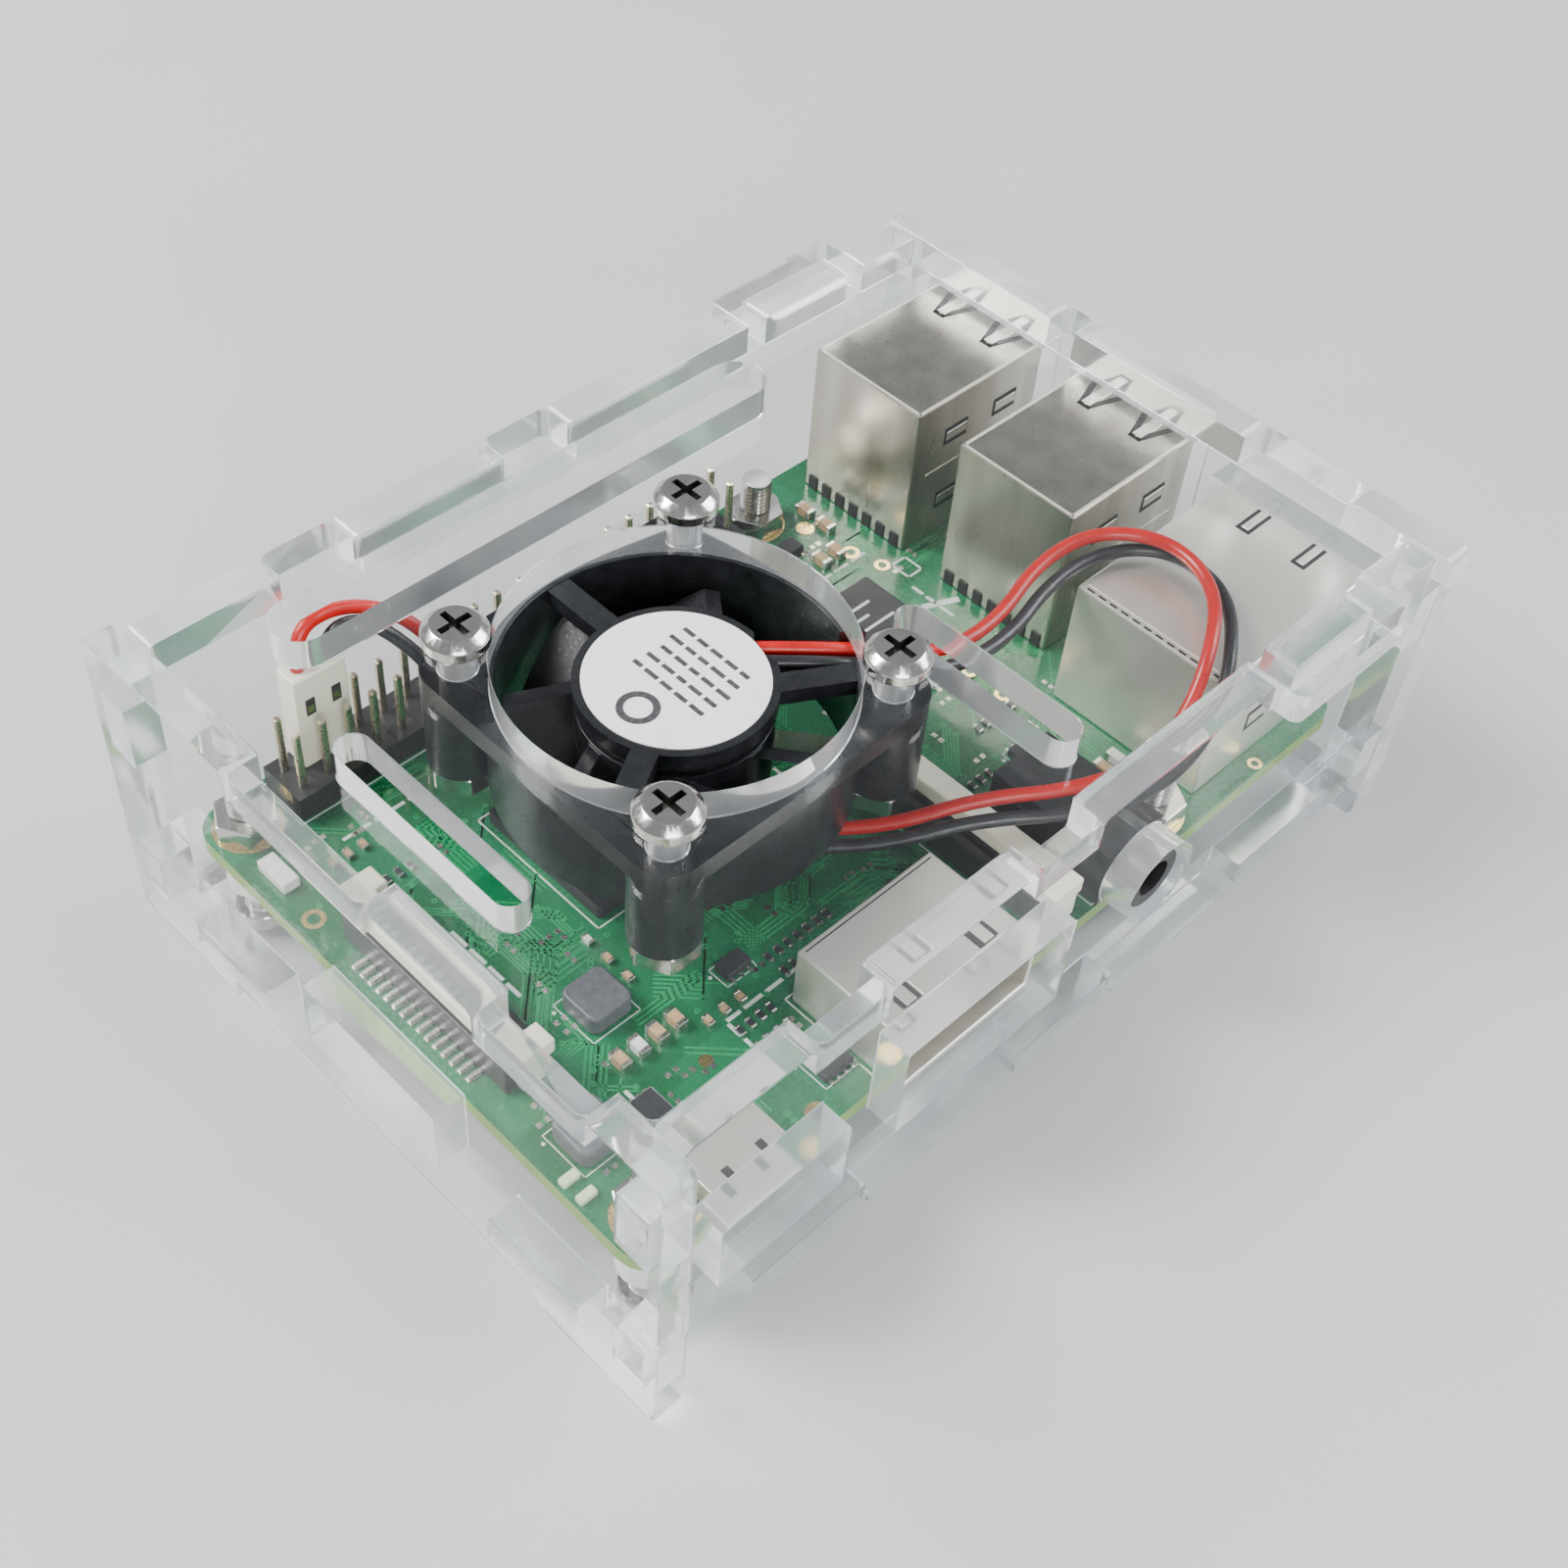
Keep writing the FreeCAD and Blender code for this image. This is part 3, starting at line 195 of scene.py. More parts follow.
def show_mix(shader, share, first, second):
    """Show two shaders mixed: the share, a number or a node's output, is how much of the second."""
    mixer = shader.tree.nodes.new("ShaderNodeMixShader")
    if isinstance(share, bpy.types.NodeSocket):
        shader.link(share, mixer.inputs[0])
    else:
        mixer.inputs[0].default_value = share
    shader.link(first.outputs[0], mixer.inputs[1])
    shader.link(second.outputs[0], mixer.inputs[2])
    shader.link(mixer.outputs[0], shader.tree.nodes["Material Output"].inputs["Surface"])


def acrylic_face():
    """The polished faces of the clear sheets: see-through, with a thin gloss on top."""
    gloss = 0.045
    shader = Shader("acrylic_face")
    shader.link(shader.mixed(shader.noise(60, 2), (1, 1, 1), (0.9, 0.92, 0.93)),
                shader.main.inputs["Base Color"])
    shader.link(shader.ranged(shader.noise(220, 5), 0.02, 0.06), shader.main.inputs["Roughness"])
    shader.main.inputs["Metallic"].default_value = 1.0
    clear = shader.put("ShaderNodeBsdfTransparent", Color=(0.985, 0.99, 0.99, 1))
    show_mix(shader, gloss, clear, shader.main)
    return shader.material


def acrylic_edge():
    """The cut edges: satin, with the cutter's fine lines across them, and whitish in bands, partly the
    cut's frost and partly a painted highlight of the light that the edges carry.

    They refract what is behind them, and let the lamps' light through to what is inside.
    """
    shader = Shader("acrylic_edge")
    bands = shader.noise(150, 3)
    # whitish and greyer bands: partly the cut's frost, partly a painted highlight of light carried along
    # the edges
    painted_highlight_bands = shader.ranged(bands, 0, 1, 0.4, 0.6)
    shader.link(shader.mixed(painted_highlight_bands, (0.96, 0.97, 0.98), (0.74, 0.77, 0.80)),
                shader.main.inputs["Base Color"])
    shader.link(shader.ranged(bands, 0.06, 0.2), shader.main.inputs["Roughness"])
    shader.main.inputs["Transmission Weight"].default_value = 0.78
    shader.main.inputs["IOR"].default_value = 1.49
    shader.bump(shader.noise(900, 2, stretch=(1, 1, 0.05)), 0.00002, 0.2)
    clear = shader.put("ShaderNodeBsdfTransparent", Color=(0.78, 0.8, 0.82, 1))
    path = shader.tree.nodes.new("ShaderNodeLightPath")
    show_mix(shader, path.outputs["Is Shadow Ray"], shader.main, clear)
    return shader.material


def solder_mask():
    """The board's glossy green mask, with darker ground areas and a fine weave under it."""
    shader = Shader("solder_mask")
    areas = shader.put("ShaderNodeTexVoronoi", Scale=170)
    areas.distance = "CHEBYCHEV"
    shader.link(shader.place, areas.inputs["Vector"])
    pour = shader.ranged(areas.outputs["Distance"], 0, 1, 0.42, 0.46)
    ground = shader.mixed(pour, (0.004, 0.105, 0.032), (0.008, 0.155, 0.058))
    cloud = shader.ranged(shader.noise(90), 0, 0.5)
    shader.link(shader.mixed(cloud, ground, (0.014, 0.20, 0.09)), shader.main.inputs["Base Color"])
    shader.link(shader.ranged(shader.noise(2400), 0.2, 0.34), shader.main.inputs["Roughness"])
    shader.main.inputs["Coat Weight"].default_value = 0.3
    shader.bump(shader.noise(2600), 0.00002, 0.3)
    return shader.material


def make_materials():
    """Every material by name. The rows are surface()'s values, in its order, up to the coat."""
    made = {"acrylic_face": acrylic_face(), "acrylic_edge": acrylic_edge(), "mask": solder_mask()}
    plain = {
        "mask_edge": ((0.16, 0.30, 0.05), (0.24, 0.38, 0.10), 900, (0.45, 0.65), 0, 2e-5, 0),
        "trace": ((0.016, 0.26, 0.085), (0.025, 0.32, 0.12), 500, (0.22, 0.36), 0, 1e-5, 0.2),
        "silkscreen": ((0.78, 0.83, 0.78), (0.62, 0.70, 0.64), 1500, (0.5, 0.7), 0, 1e-5, 0),
        "solder": ((0.74, 0.74, 0.71), (0.56, 0.55, 0.50), 1400, (0.18, 0.4), 1, 3e-5, 0),
        "gold": ((0.92, 0.72, 0.32), (0.80, 0.58, 0.24), 900, (0.2, 0.38), 1, 1e-5, 0),
        "pin": ((0.70, 0.62, 0.42), (0.52, 0.46, 0.33), 700, (0.22, 0.4), 1, 1e-5, 0),
        "chip": ((0.018, 0.019, 0.022), (0.03, 0.031, 0.034), 2200, (0.42, 0.62), 0, 2e-5, 0),
        "coil": ((0.085, 0.09, 0.10), (0.13, 0.135, 0.145), 1800, (0.35, 0.55), 0, 3e-5, 0),
        "ceramic": ((0.42, 0.27, 0.14), (0.55, 0.38, 0.22), 1800, (0.35, 0.5), 0, 2e-5, 0),
        "glaze": ((0.02, 0.022, 0.026), (0.04, 0.042, 0.05), 1600, (0.22, 0.38), 0, 1e-5, 0.2),
        "white_ceramic": ((0.82, 0.82, 0.78), (0.7, 0.7, 0.66), 1600, (0.35, 0.5), 0, 2e-5, 0),
        "lens": ((0.72, 0.80, 0.55), (0.60, 0.72, 0.45), 1200, (0.15, 0.3), 0, 1e-5, 0.3),
        "black_plastic": ((0.014, 0.014, 0.016), (0.028, 0.028, 0.03), 900, (0.32, 0.5), 0, 3e-5, 0),
        "ivory": ((0.80, 0.76, 0.60), (0.86, 0.83, 0.70), 420, (0.32, 0.48), 0, 2e-5, 0),
        "bright_tin": ((0.90, 0.87, 0.79), (0.86, 0.82, 0.74), 260, (0.33, 0.38), 0.8, 0, 0),
        # rim: paler, less metallic tin, painted as a highlight on the USB shells' roof edges and on the
        # video socket's tongues and front rim; on the network socket it is the colour of the seam
        "rim": ((0.86, 0.83, 0.74), (0.78, 0.75, 0.66), 900, (0.3, 0.4), 0.4, 5e-6, 0),
        # slit: near black, painted as shade in cut-outs, slots, windows and notches, and also the colour
        # of the video socket's dark seam
        "painted_shade_and_dark_seam": ((0.008, 0.008, 0.008), (0.02, 0.018, 0.016), 900, (0.5, 0.7), 0, 1e-5, 0),
        "screw": ((0.74, 0.72, 0.68), (0.62, 0.60, 0.56), 500, (0.12, 0.26), 1, 1e-5, 0),
        # recess: dark metal, painted as shade in the fan screws' cross recesses
        "recess": ((0.10, 0.095, 0.09), (0.16, 0.15, 0.14), 900, (0.35, 0.5), 1, 1e-5, 0),
        "nylon": ((0.83, 0.83, 0.79), (0.74, 0.74, 0.70), 500, (0.35, 0.5), 0, 2e-5, 0),
        "fan_black": ((0.007, 0.0075, 0.009), (0.016, 0.017, 0.02), 700, (0.26, 0.42), 0, 3e-5, 0.15),
        "brass": ((0.72, 0.53, 0.25), (0.60, 0.43, 0.20), 800, (0.2, 0.35), 1, 1e-5, 0),
        "core": ((0.28, 0.26, 0.25), (0.18, 0.17, 0.165), 1500, (0.35, 0.55), 1, 3e-5, 0),
        "ferrite": ((0.06, 0.058, 0.056), (0.10, 0.095, 0.09), 1500, (0.5, 0.7), 0, 3e-5, 0),
        "paper": ((0.90, 0.90, 0.89), (0.84, 0.84, 0.83), 1600, (0.45, 0.6), 0, 1e-5, 0),
        "ink": ((0.03, 0.03, 0.035), (0.08, 0.08, 0.085), 3000, (0.5, 0.6), 0, 0, 0),
        "red_wire": ((0.40, 0.004, 0.003), (0.50, 0.008, 0.006), 500, (0.26, 0.4), 0, 1.5e-5, 0.1),
        "black_wire": ((0.012, 0.012, 0.014), (0.028, 0.028, 0.032), 500, (0.26, 0.4), 0, 1.5e-5, 0.1),
    }
    for name, values in plain.items():
        made[name] = surface(name, *values)
    made["nickel"] = surface("nickel", (0.64, 0.60, 0.53), (0.47, 0.43, 0.37), 420, (0.27, 0.33), 1,
                             stretch=(1, 1, 0.07))
    return made


MATERIALS = make_materials()


# ---------------------------------------------------------------- mesh helpers


def shade(bm):
    """Smooth over round stretches and bevels, sharp at corners and where a bevel meets a large face."""
    flat, corner, much_larger = math.radians(8), math.radians(35), 6
    bm.normal_update()
    for face in bm.faces:
        face.smooth = True
    for edge in bm.edges:
        if len(edge.link_faces) != 2:
            continue
        turn = edge.calc_face_angle(0)
        small, large = sorted(face.calc_area() for face in edge.link_faces)
        edge.smooth = turn < flat or (turn < corner and large < much_larger * small)


def keep(name, bm, materials, body=MAIN, replaces=()):
    """Turn a bmesh into a piece that rides on a body and stands for some CAD nodes."""
    mesh = bpy.data.meshes.new(name)
    bmesh.ops.recalc_face_normals(bm, faces=bm.faces)
    shade(bm)
    bm.to_mesh(mesh)
    bm.free()
    for material in materials:
        mesh.materials.append(MATERIALS[material])
    item = bpy.data.objects.new(name, mesh)
    bpy.context.scene.collection.objects.link(item)
    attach(item, body)
    if replaces:
        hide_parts(*replaces)
    return item


def copied(node):
    """A CAD node's shape as a bmesh of whole flat faces."""
    bm = bmesh.new()
    bm.from_mesh(nodes[node].data)
    bmesh.ops.remove_doubles(bm, verts=bm.verts, dist=1e-7)
    bmesh.ops.dissolve_limit(bm, angle_limit=math.radians(1), verts=bm.verts, edges=bm.edges)
    for face in bm.faces:
        face.material_index = 0
    return bm


def soften(bm, width, segments=2, chosen=None, angle=32):
    """Bevel the edges that turn by more than the angle; width is in millimetres."""
    edges = [edge for edge in bm.edges if len(edge.link_faces) == 2
             and edge.calc_face_angle(0) > math.radians(angle) and (chosen is None or chosen(edge))]
    bmesh.ops.bevel(bm, geom=edges, offset=width * MM, segments=segments, profile=0.5, affect="EDGES",
                    clamp_overlap=True)


def refined(node, material, width, segments=2, body=MAIN):
    """A CAD node's shape with its edges softened."""
    bm = copied(node)
    soften(bm, width, segments)
    return keep(node + "_piece", bm, [material], body, [node])


def add_box(bm, low, high, material=0, bevel=0.0, turn=None):
    """A box between two corners in board millimetres, bevelled, and turned about its middle if asked."""
    middle, size = (Vector(low) + Vector(high)) / 2, Vector(high) - Vector(low)
    scale = Matrix.Diagonal((*(size * MM), 1))
    matrix = Matrix.Translation(at(*middle)) @ (turn or Matrix.Identity(4)) @ scale
    made = bmesh.ops.create_cube(bm, size=1, matrix=matrix)["verts"]
    faces = {face for vert in made for face in vert.link_faces}
    if bevel:
        edges = {edge for vert in made for edge in vert.link_edges}
        made = bmesh.ops.bevel(bm, geom=list(edges), offset=bevel * MM, segments=1, affect="EDGES",
                               clamp_overlap=True)
        faces |= set(made["faces"])
    for face in faces:
        if face.is_valid:
            face.material_index = material


def add_bar(bm, start, stop, width, z, height, material=0):
    """A thin straight strip lying flat from start to stop, both (x, y) in board millimetres."""
    run = Vector(stop) - Vector(start)
    middle = (Vector(start) + Vector(stop)) / 2
    half = Vector((run.length + width, width, height)) / 2
    turn = Matrix.Rotation(math.atan2(run.y, run.x), 4, "Z")
    centre = Vector((middle.x, middle.y, z + height / 2))
    add_box(bm, centre - half, centre + half, material, turn=turn)


def add_disc(bm, x, y, z, height, radius, material=0, sides=20, hole=0.0):
    """A flat disc or washer on (x, y), from z up."""
    rings = []
    for level in (z, z + height):
        for r in ((radius, hole) if hole else (radius,)):
            rings.append([bm.verts.new(at(x + r * math.cos(a), y + r * math.sin(a), level))
                          for a in (2 * math.pi * i / sides for i in range(sides))])
    if hole:
        low, low_in, high, high_in = rings
        walls = ((low, high), (high, high_in), (high_in, low_in), (low_in, low))
    else:
        low, high = rings
        walls = ((low, high),)
    faces = [bm.faces.new((a[i], a[(i + 1) % sides], b[(i + 1) % sides], b[i]))
             for a, b in walls for i in range(sides)]
    if not hole:
        faces += [bm.faces.new(low[::-1]), bm.faces.new(high)]
    for face in faces:
        face.material_index = material


def add_turned(bm, x, y, profile, material=0, sides=28):
    """A closed turned shape round the upright through (x, y): (radius, z) pairs, ends on the axis."""
    rings = []
    for radius, z in profile:
        if radius == 0:
            rings.append([bm.verts.new(at(x, y, z))] * sides)
        else:
            rings.append([bm.verts.new(at(x + radius * math.cos(a), y + radius * math.sin(a), z))
                          for a in (2 * math.pi * i / sides for i in range(sides))])
    for low, high in zip(rings, rings[1:]):
        for i in range(sides):
            corners = []
            for vert in (low[i], low[(i + 1) % sides], high[(i + 1) % sides], high[i]):
                if vert not in corners:
                    corners.append(vert)
            bm.faces.new(corners).material_index = material


def islands(node):
    """The boxes, in board millimetres, of a CAD node's separate solids."""
    bm = bmesh.new()
    bm.from_mesh(nodes[node].data)
    bmesh.ops.remove_doubles(bm, verts=bm.verts, dist=1e-7)
    left, found = set(bm.verts), []
    while left:
        reach, seen = [left.pop()], []
        while reach:
            vert = reach.pop()
            seen.append(vert)
            for edge in vert.link_edges:
                other = edge.other_vert(vert)
                if other in left:
                    left.discard(other)
                    reach.append(other)
        points = [(vert.co - CORNER) / MM for vert in seen]
        found.append((Vector([min(p[i] for p in points) for i in range(3)]),
                      Vector([max(p[i] for p in points) for i in range(3)])))
    bm.free()
    return sorted(found, key=lambda pair: tuple(round(value, 3) for value in (*pair[0], *pair[1])))


# ---------------------------------------------------------------- the fan's two wires

RED_ROUTE = [(37.6, 29.1, 16.0), (43.4, 24.1, 16.0), (49.5, 19.6, 14.6), (56.5, 19.4, 14.2),
             (63.5, 21.2, 15.4), (70.0, 20.2, 16.0), (74.0, 15.0, 16.0), (72.2, 8.8, 15.9),
             (66.0, 4.6, 16.0), (61.6, 2.8, 12.6), (56.8, 2.8, 9.8), (50.6, 5.4, 9.3),
             (44.4, 9.8, 9.2), (38.2, 14.8, 5.7), (31.5, 22.5, 4.6), (26.2, 31.5, 4.4),
             (23.9, 40.5, 4.4), (23.3, 47.2, 6.0), (22.2, 50.4, 10.8), (19.6, 52.9, 14.4),
             (15.6, 54.7, 15.9), (11.2, 54.3, 15.9), (10.91, 53.81, 12.4)]
BLACK_ROUTE = [(36.9, 27.6, 16.0), (42.5, 22.8, 16.0), (48.6, 18.3, 14.0), (56.4, 17.9, 13.3),
               (63.4, 19.6, 14.2), (69.8, 19.0, 14.6), (74.6, 15.0, 14.6), (73.8, 8.0, 14.6),
               (65.4, 2.0, 15.0), (61.6, 0.6, 10.9), (56.4, 1.2, 8.1), (49.9, 4.2, 7.8),
               (43.5, 9.0, 8.0), (37.2, 13.9, 5.0), (30.2, 21.5, 4.2), (24.8, 30.9, 4.0),
               (22.3, 40.2, 4.2), (21.7, 46.9, 6.0), (20.5, 49.9, 10.2), (18.4, 52.2, 13.4),
               (16.4, 53.3, 14.9), (13.8, 53.4, 14.9), (13.45, 53.81, 12.4)]
WIRE = 1.2  # across the insulation


def wire(name, route, node, material):
    """A smooth wire along its route, from under the fan's label to the plug on the pin header."""
    curve = bpy.data.curves.new(name, "CURVE")
    curve.dimensions = "3D"
    curve.bevel_depth = WIRE / 2 * MM
    curve.bevel_resolution = 5
    curve.resolution_u = 12
    curve.use_fill_caps = True
    line = curve.splines.new("NURBS")
    line.points.add(len(route) - 1)
    for point, place in zip(line.points, route):
        point.co = (*at(*place), 1)
    line.order_u = 3
    line.use_endpoint_u = True
    curve.materials.append(MATERIALS[material])
    item = bpy.data.objects.new(name, curve)
    bpy.context.scene.collection.objects.link(item)
    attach(item, MAIN)
    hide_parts(node)


def fan_plug():
    """The two-way plug: ivory housing with a latch window over each contact, the window a dark box of
    painted shade round a gold contact.
    """
    low, high = on_board("fan_plug")
    bm = copied("fan_plug")
    soften(bm, 0.12, 1)
    for way in (low.x * 0.75 + high.x * 0.25, low.x * 0.25 + high.x * 0.75):
        # painted shade: a dark box for the latch window
        add_box(bm, (way - 0.45, low.y - 0.02, high.z - 4.2), (way + 0.45, low.y + 0.02, high.z - 2.4), 1)
        add_box(bm, (way - 0.3, low.y - 0.04, high.z - 3.9), (way + 0.3, low.y + 0.02, high.z - 3.2), 2)
    return keep("fan_plug_piece", bm, ["ivory", "painted_shade_and_dark_seam", "gold"], MAIN, ["fan_plug"])


plug = fan_plug()
wire("red_wire", RED_ROUTE, "fan_wire_red", "red_wire")
wire("black_wire", BLACK_ROUTE, "fan_wire_black", "black_wire")


# ---------------------------------------------------------------- the clear case

# each sheet and the axis across it: 0 for X, 1 for Y, 2 for Z
SHEETS = {"bottom_panel": 2, "top_panel": 2, "front_side_panel": 1, "rear_side_panel": 1,
          "left_end_panel": 0, "right_end_panel": 0}


def is_outer_corner(edge, across):
    """True for an edge through the sheet, at an outer corner between two cut faces over 6 mm2 each."""
    smallest = 6e-6
    run = (edge.verts[0].co - edge.verts[1].co).normalized()
    if len(edge.link_faces) != 2 or abs(run[across]) < 0.9:
        return False
    sides = [face for face in edge.link_faces if abs(face.normal[across]) < 0.5]
    return len(sides) == 2 and edge.is_convex and all(face.calc_area() > smallest for face in sides)


def acrylic_sheet(node, across):
    """A laser-cut sheet: clear faces, cut edges whitish partly as a painted highlight, rounded outer
    corners and a fine bevel.
    """
    corner_radius = 0.9
    bm = copied(node)
    corners = [edge for edge in bm.edges if is_outer_corner(edge, across)]
    if corners:
        bmesh.ops.bevel(bm, geom=corners, offset=corner_radius * MM, segments=5, profile=0.5,
                        affect="EDGES", clamp_overlap=True)
    soften(bm, 0.09, 1, lambda edge: any(abs(face.normal[across]) > 0.9 for face in edge.link_faces), 60)
    for face in bm.faces:
        face.material_index = 0 if abs(face.normal[across]) > 0.9 else 1
    return keep(node + "_piece", bm, ["acrylic_face", "acrylic_edge"], MAIN, [node])


for name, across in SHEETS.items():
    acrylic_sheet(name, across)


# ---------------------------------------------------------------- fasteners


def fan_screws():
    """Pan heads over the lid, each with its cross recess painted dark as shade."""
    reach, lowest, highest = 1.95, LID_TOP + 0.6, LID_TOP + 1.45
    bm = copied("fan_screws")
    heads = [(low + high) / 2 for low, high in islands("fan_screws")]
    recess = []
    for face in bm.faces:
        place = (face.calc_center_median() - CORNER) / MM
        off_axis = min((place - head).xy.length for head in heads)
        if off_axis < reach and lowest < place.z < highest:
            recess.append(face)
    # the recess faces are painted dark as shade
    for face in recess:
        face.material_index = 1
    soften(bm, 0.1, 2, lambda edge: all(face.material_index == 0 for face in edge.link_faces))
    keep("fan_screws_piece", bm, ["screw", "recess"], MAIN, ["fan_screws"])


def thread_rings(bm, x, y, low, high):
    """A threaded shank as rings of crest and root on one axis."""
    radius, pitch, step = 1.47, 0.45, 0.12
    profile, z = [(0, low), (radius - step, low)], low
    while z + pitch <= high:
        profile += [(radius, z + pitch / 2), (radius - step, z + pitch)]
        z += pitch
    profile += [(radius - step, high), (0, high)]
    add_turned(bm, x, y, profile, 0, 20)


def fasteners():
    """The fan's screws and nuts, and the board's screws with their threads, spacers and nuts."""
    fan_screws()
    refined("fan_nuts", "screw", 0.2, 1)
    refined("board_nuts", "screw", 0.22, 2)
    refined("board_spacers", "nylon", 0.12, 1)
    bm = copied("board_screws")
    soften(bm, 0.12, 1)
    for low, high in islands("board_screws"):
        x, y = (low.x + high.x) / 2, (low.y + high.y) / 2
        thread_rings(bm, x, y, high.z - 3.4, high.z - 0.02)
    keep("board_screws_piece", bm, ["screw"], MAIN, ["board_screws"])


fasteners()


# ---------------------------------------------------------------- board


def circuit_board():
    """The board: mask on both faces, bare laminate round its rim and in its holes."""
    bm = copied("circuit_board")
    soften(bm, 0.08, 1, lambda edge: any(abs(face.normal.z) > 0.9 for face in edge.link_faces), 60)
    for face in bm.faces:
        face.material_index = 0 if abs(face.normal.z) > 0.9 else 1
    keep("circuit_board_piece", bm, ["mask", "mask_edge"], MAIN, ["circuit_board"])


# the nodes that keep tracks and pads off the board under them
TAKEN = ["processor_chip", "network_chip", "support_chips", "inductors", "chip_antenna", "crystals",
         "inner_usb_shell", "outer_usb_shell", "ethernet_shell", "video_shell", "power_socket_shell",
         "audio_jack_body", "display_connector_body", "display_connector_contacts", "display_latch",
         "camera_connector_body", "camera_connector_contacts", "camera_latch", "gpio_header_base",
         "board_nuts", "status_lamps", "capacitors", "resistors"]


def taken_areas(margin):
    """Where parts stand on the board: (low x, low y, high x, high y) boxes grown by the margin."""
    stands_below = 0.6
    areas = []
    for node in TAKEN:
        for low, high in islands(node):
            if low.z < stands_below:
                areas.append((low.x - margin, low.y - margin, high.x + margin, high.y + margin))
    return areas


def is_free(areas, x, y):
    """True if the point is on the board, clear of its rim, and under none of the parts."""
    rim = 0.8
    if not (rim < x < BOARD_LONG - rim and rim < y < BOARD_WIDE - rim):
        return False
    return all(not (a < x < c and b < y < d) for a, b, c, d in areas)


def traces_and_vias():
    """Fine tracks that run in bundles and turn at 45 or 90 degrees, and plated holes at random."""
    bundles, single_vias, track_width, via_height = 260, 240, 0.16, 0.035
    rng = random.Random(11)
    areas = taken_areas(0.35)
    tracks, rings = bmesh.new(), bmesh.new()
    headings = [(1, 0), (0, 1), (0.7071, 0.7071), (0.7071, -0.7071)]
    for _ in range(bundles):
        x, y = rng.uniform(1, BOARD_LONG - 1), rng.uniform(1, BOARD_WIDE - 1)
        heading = rng.randrange(4)
        pitch, count = rng.choice((0.42, 0.5)), rng.randint(2, 6)
        legs = [(heading, rng.uniform(2, 7)), ((heading + rng.choice((2, 3))) % 4, rng.uniform(1.5, 5))]
        for lane in range(count):
            dx, dy = headings[heading]
            place = Vector((x - dy * lane * pitch, y + dx * lane * pitch))
            for direction, length in legs:
                step = Vector(headings[direction]) * length
                if is_free(areas, *place) and is_free(areas, *(place + step)) \
                        and is_free(areas, *(place + step / 2)):
                    add_bar(tracks, place, place + step, track_width, 0, COPPER)
                place = place + step
            if is_free(areas, *place) and rng.random() < 0.5:
                add_disc(rings, place.x, place.y, 0, via_height, 0.28, 0, 10, 0.13)
    for _ in range(single_vias):
        x, y = rng.uniform(1, BOARD_LONG - 1), rng.uniform(1, BOARD_WIDE - 1)
        if is_free(areas, x, y):
            add_disc(rings, x, y, 0, via_height, 0.26, 0, 10, 0.12)
    keep("board_tracks", tracks, ["trace"])
    keep("board_vias", rings, ["trace"])


def plated_holes_and_rings():
    """Gold round pads: test points, the fixing holes' rings and the plated holes near the sockets.

    The rows are x, y, outer radius and hole radius.
    """
    bm = bmesh.new()
    for x, y, radius, hole in ((18.6, 1.4, 1.0, 0), (64.7, 48.7, 0.9, 0), (1.7, 41.1, 1.0, 0.55),
                               (73.0, 0.8, 0.7, 0.35), (62.4, 21.2, 0.8, 0.4), (62.4, 25.2, 0.8, 0.4),
                               (65.6, 43.4, 0.9, 0.45), (66.6, 40.2, 0.8, 0.4), (15.6, 10.4, 0.6, 0)):
        add_disc(bm, x, y, 0, 0.04, radius, 0, 24, hole)
    for x, y in FIXING_HOLES:
        add_disc(bm, x, y, 0, 0.03, 3.0, 0, 32, 1.6)
    keep("board_rings", bm, ["gold"])


def outline(bm, low, high, width=0.14):
    """A thin printed rectangle on the board."""
    corners = [low, (high[0], low[1]), high, (low[0], high[1])]
    for start, stop in zip(corners, corners[1:] + corners[:1]):
        add_bar(bm, start, stop, width, 0, PRINT)


def silkscreen():
    """Printed outlines round the parts and generic bars where the real board has lettering.

    The outlines' rows are a node and the gap round it. The bars' rows are x, y, how many bars,
    and whether they run along Y.
    """
    rim = 0.3
    bm = bmesh.new()
    for node, gap in (("processor_chip", 0.6), ("network_chip", 0.5), ("video_shell", 0.35),
                      ("gpio_header_base", 0.3), ("camera_connector_body", 0.4),
                      ("audio_jack_body", 0.3)):
        low, high = on_board(node)
        outline(bm, (low.x - gap, max(low.y - gap, rim)),
                (high.x + gap, min(high.y + gap, BOARD_WIDE - rim)))
    for low, high in islands("support_chips") + islands("inductors"):
        if low.z > -0.5:
            outline(bm, (low.x - 0.3, low.y - 0.3), (high.x + 0.3, high.y + 0.3), 0.1)
            add_disc(bm, low.x - 0.7, high.y - 0.3, 0, PRINT, 0.18, 0, 8)
    rng = random.Random(4)
    for x, y, count, turned in ((8.5, 46.2, 5, False), (19.5, 12.0, 4, False), (62.8, 27.2, 4, True),
                                (57.0, 42.5, 5, False), (66.6, 31.2, 3, True), (9.0, 24.6, 4, True),
                                (49.6, 25.6, 4, True), (40.6, 24.0, 3, True), (50.4, 47.4, 4, False),
                                (9.2, 6.4, 3, True), (19.2, 6.2, 3, True)):
        place = 0.0
        for _ in range(count):
            length = rng.uniform(0.7, 1.7)
            start = (x, y + place) if turned else (x + place, y)
            stop = (x, y + place + length) if turned else (x + place + length, y)
            add_bar(bm, start, stop, 0.34, 0, PRINT)
            place += length + 0.75
    add_bar(bm, (65.6, 33.6), (68.4, 32.4), 0.7, 0, PRINT)
    outline(bm, (67.3, 37.4), (69.1, 39.6), 0.22)
    keep("board_print", bm, ["silkscreen"])


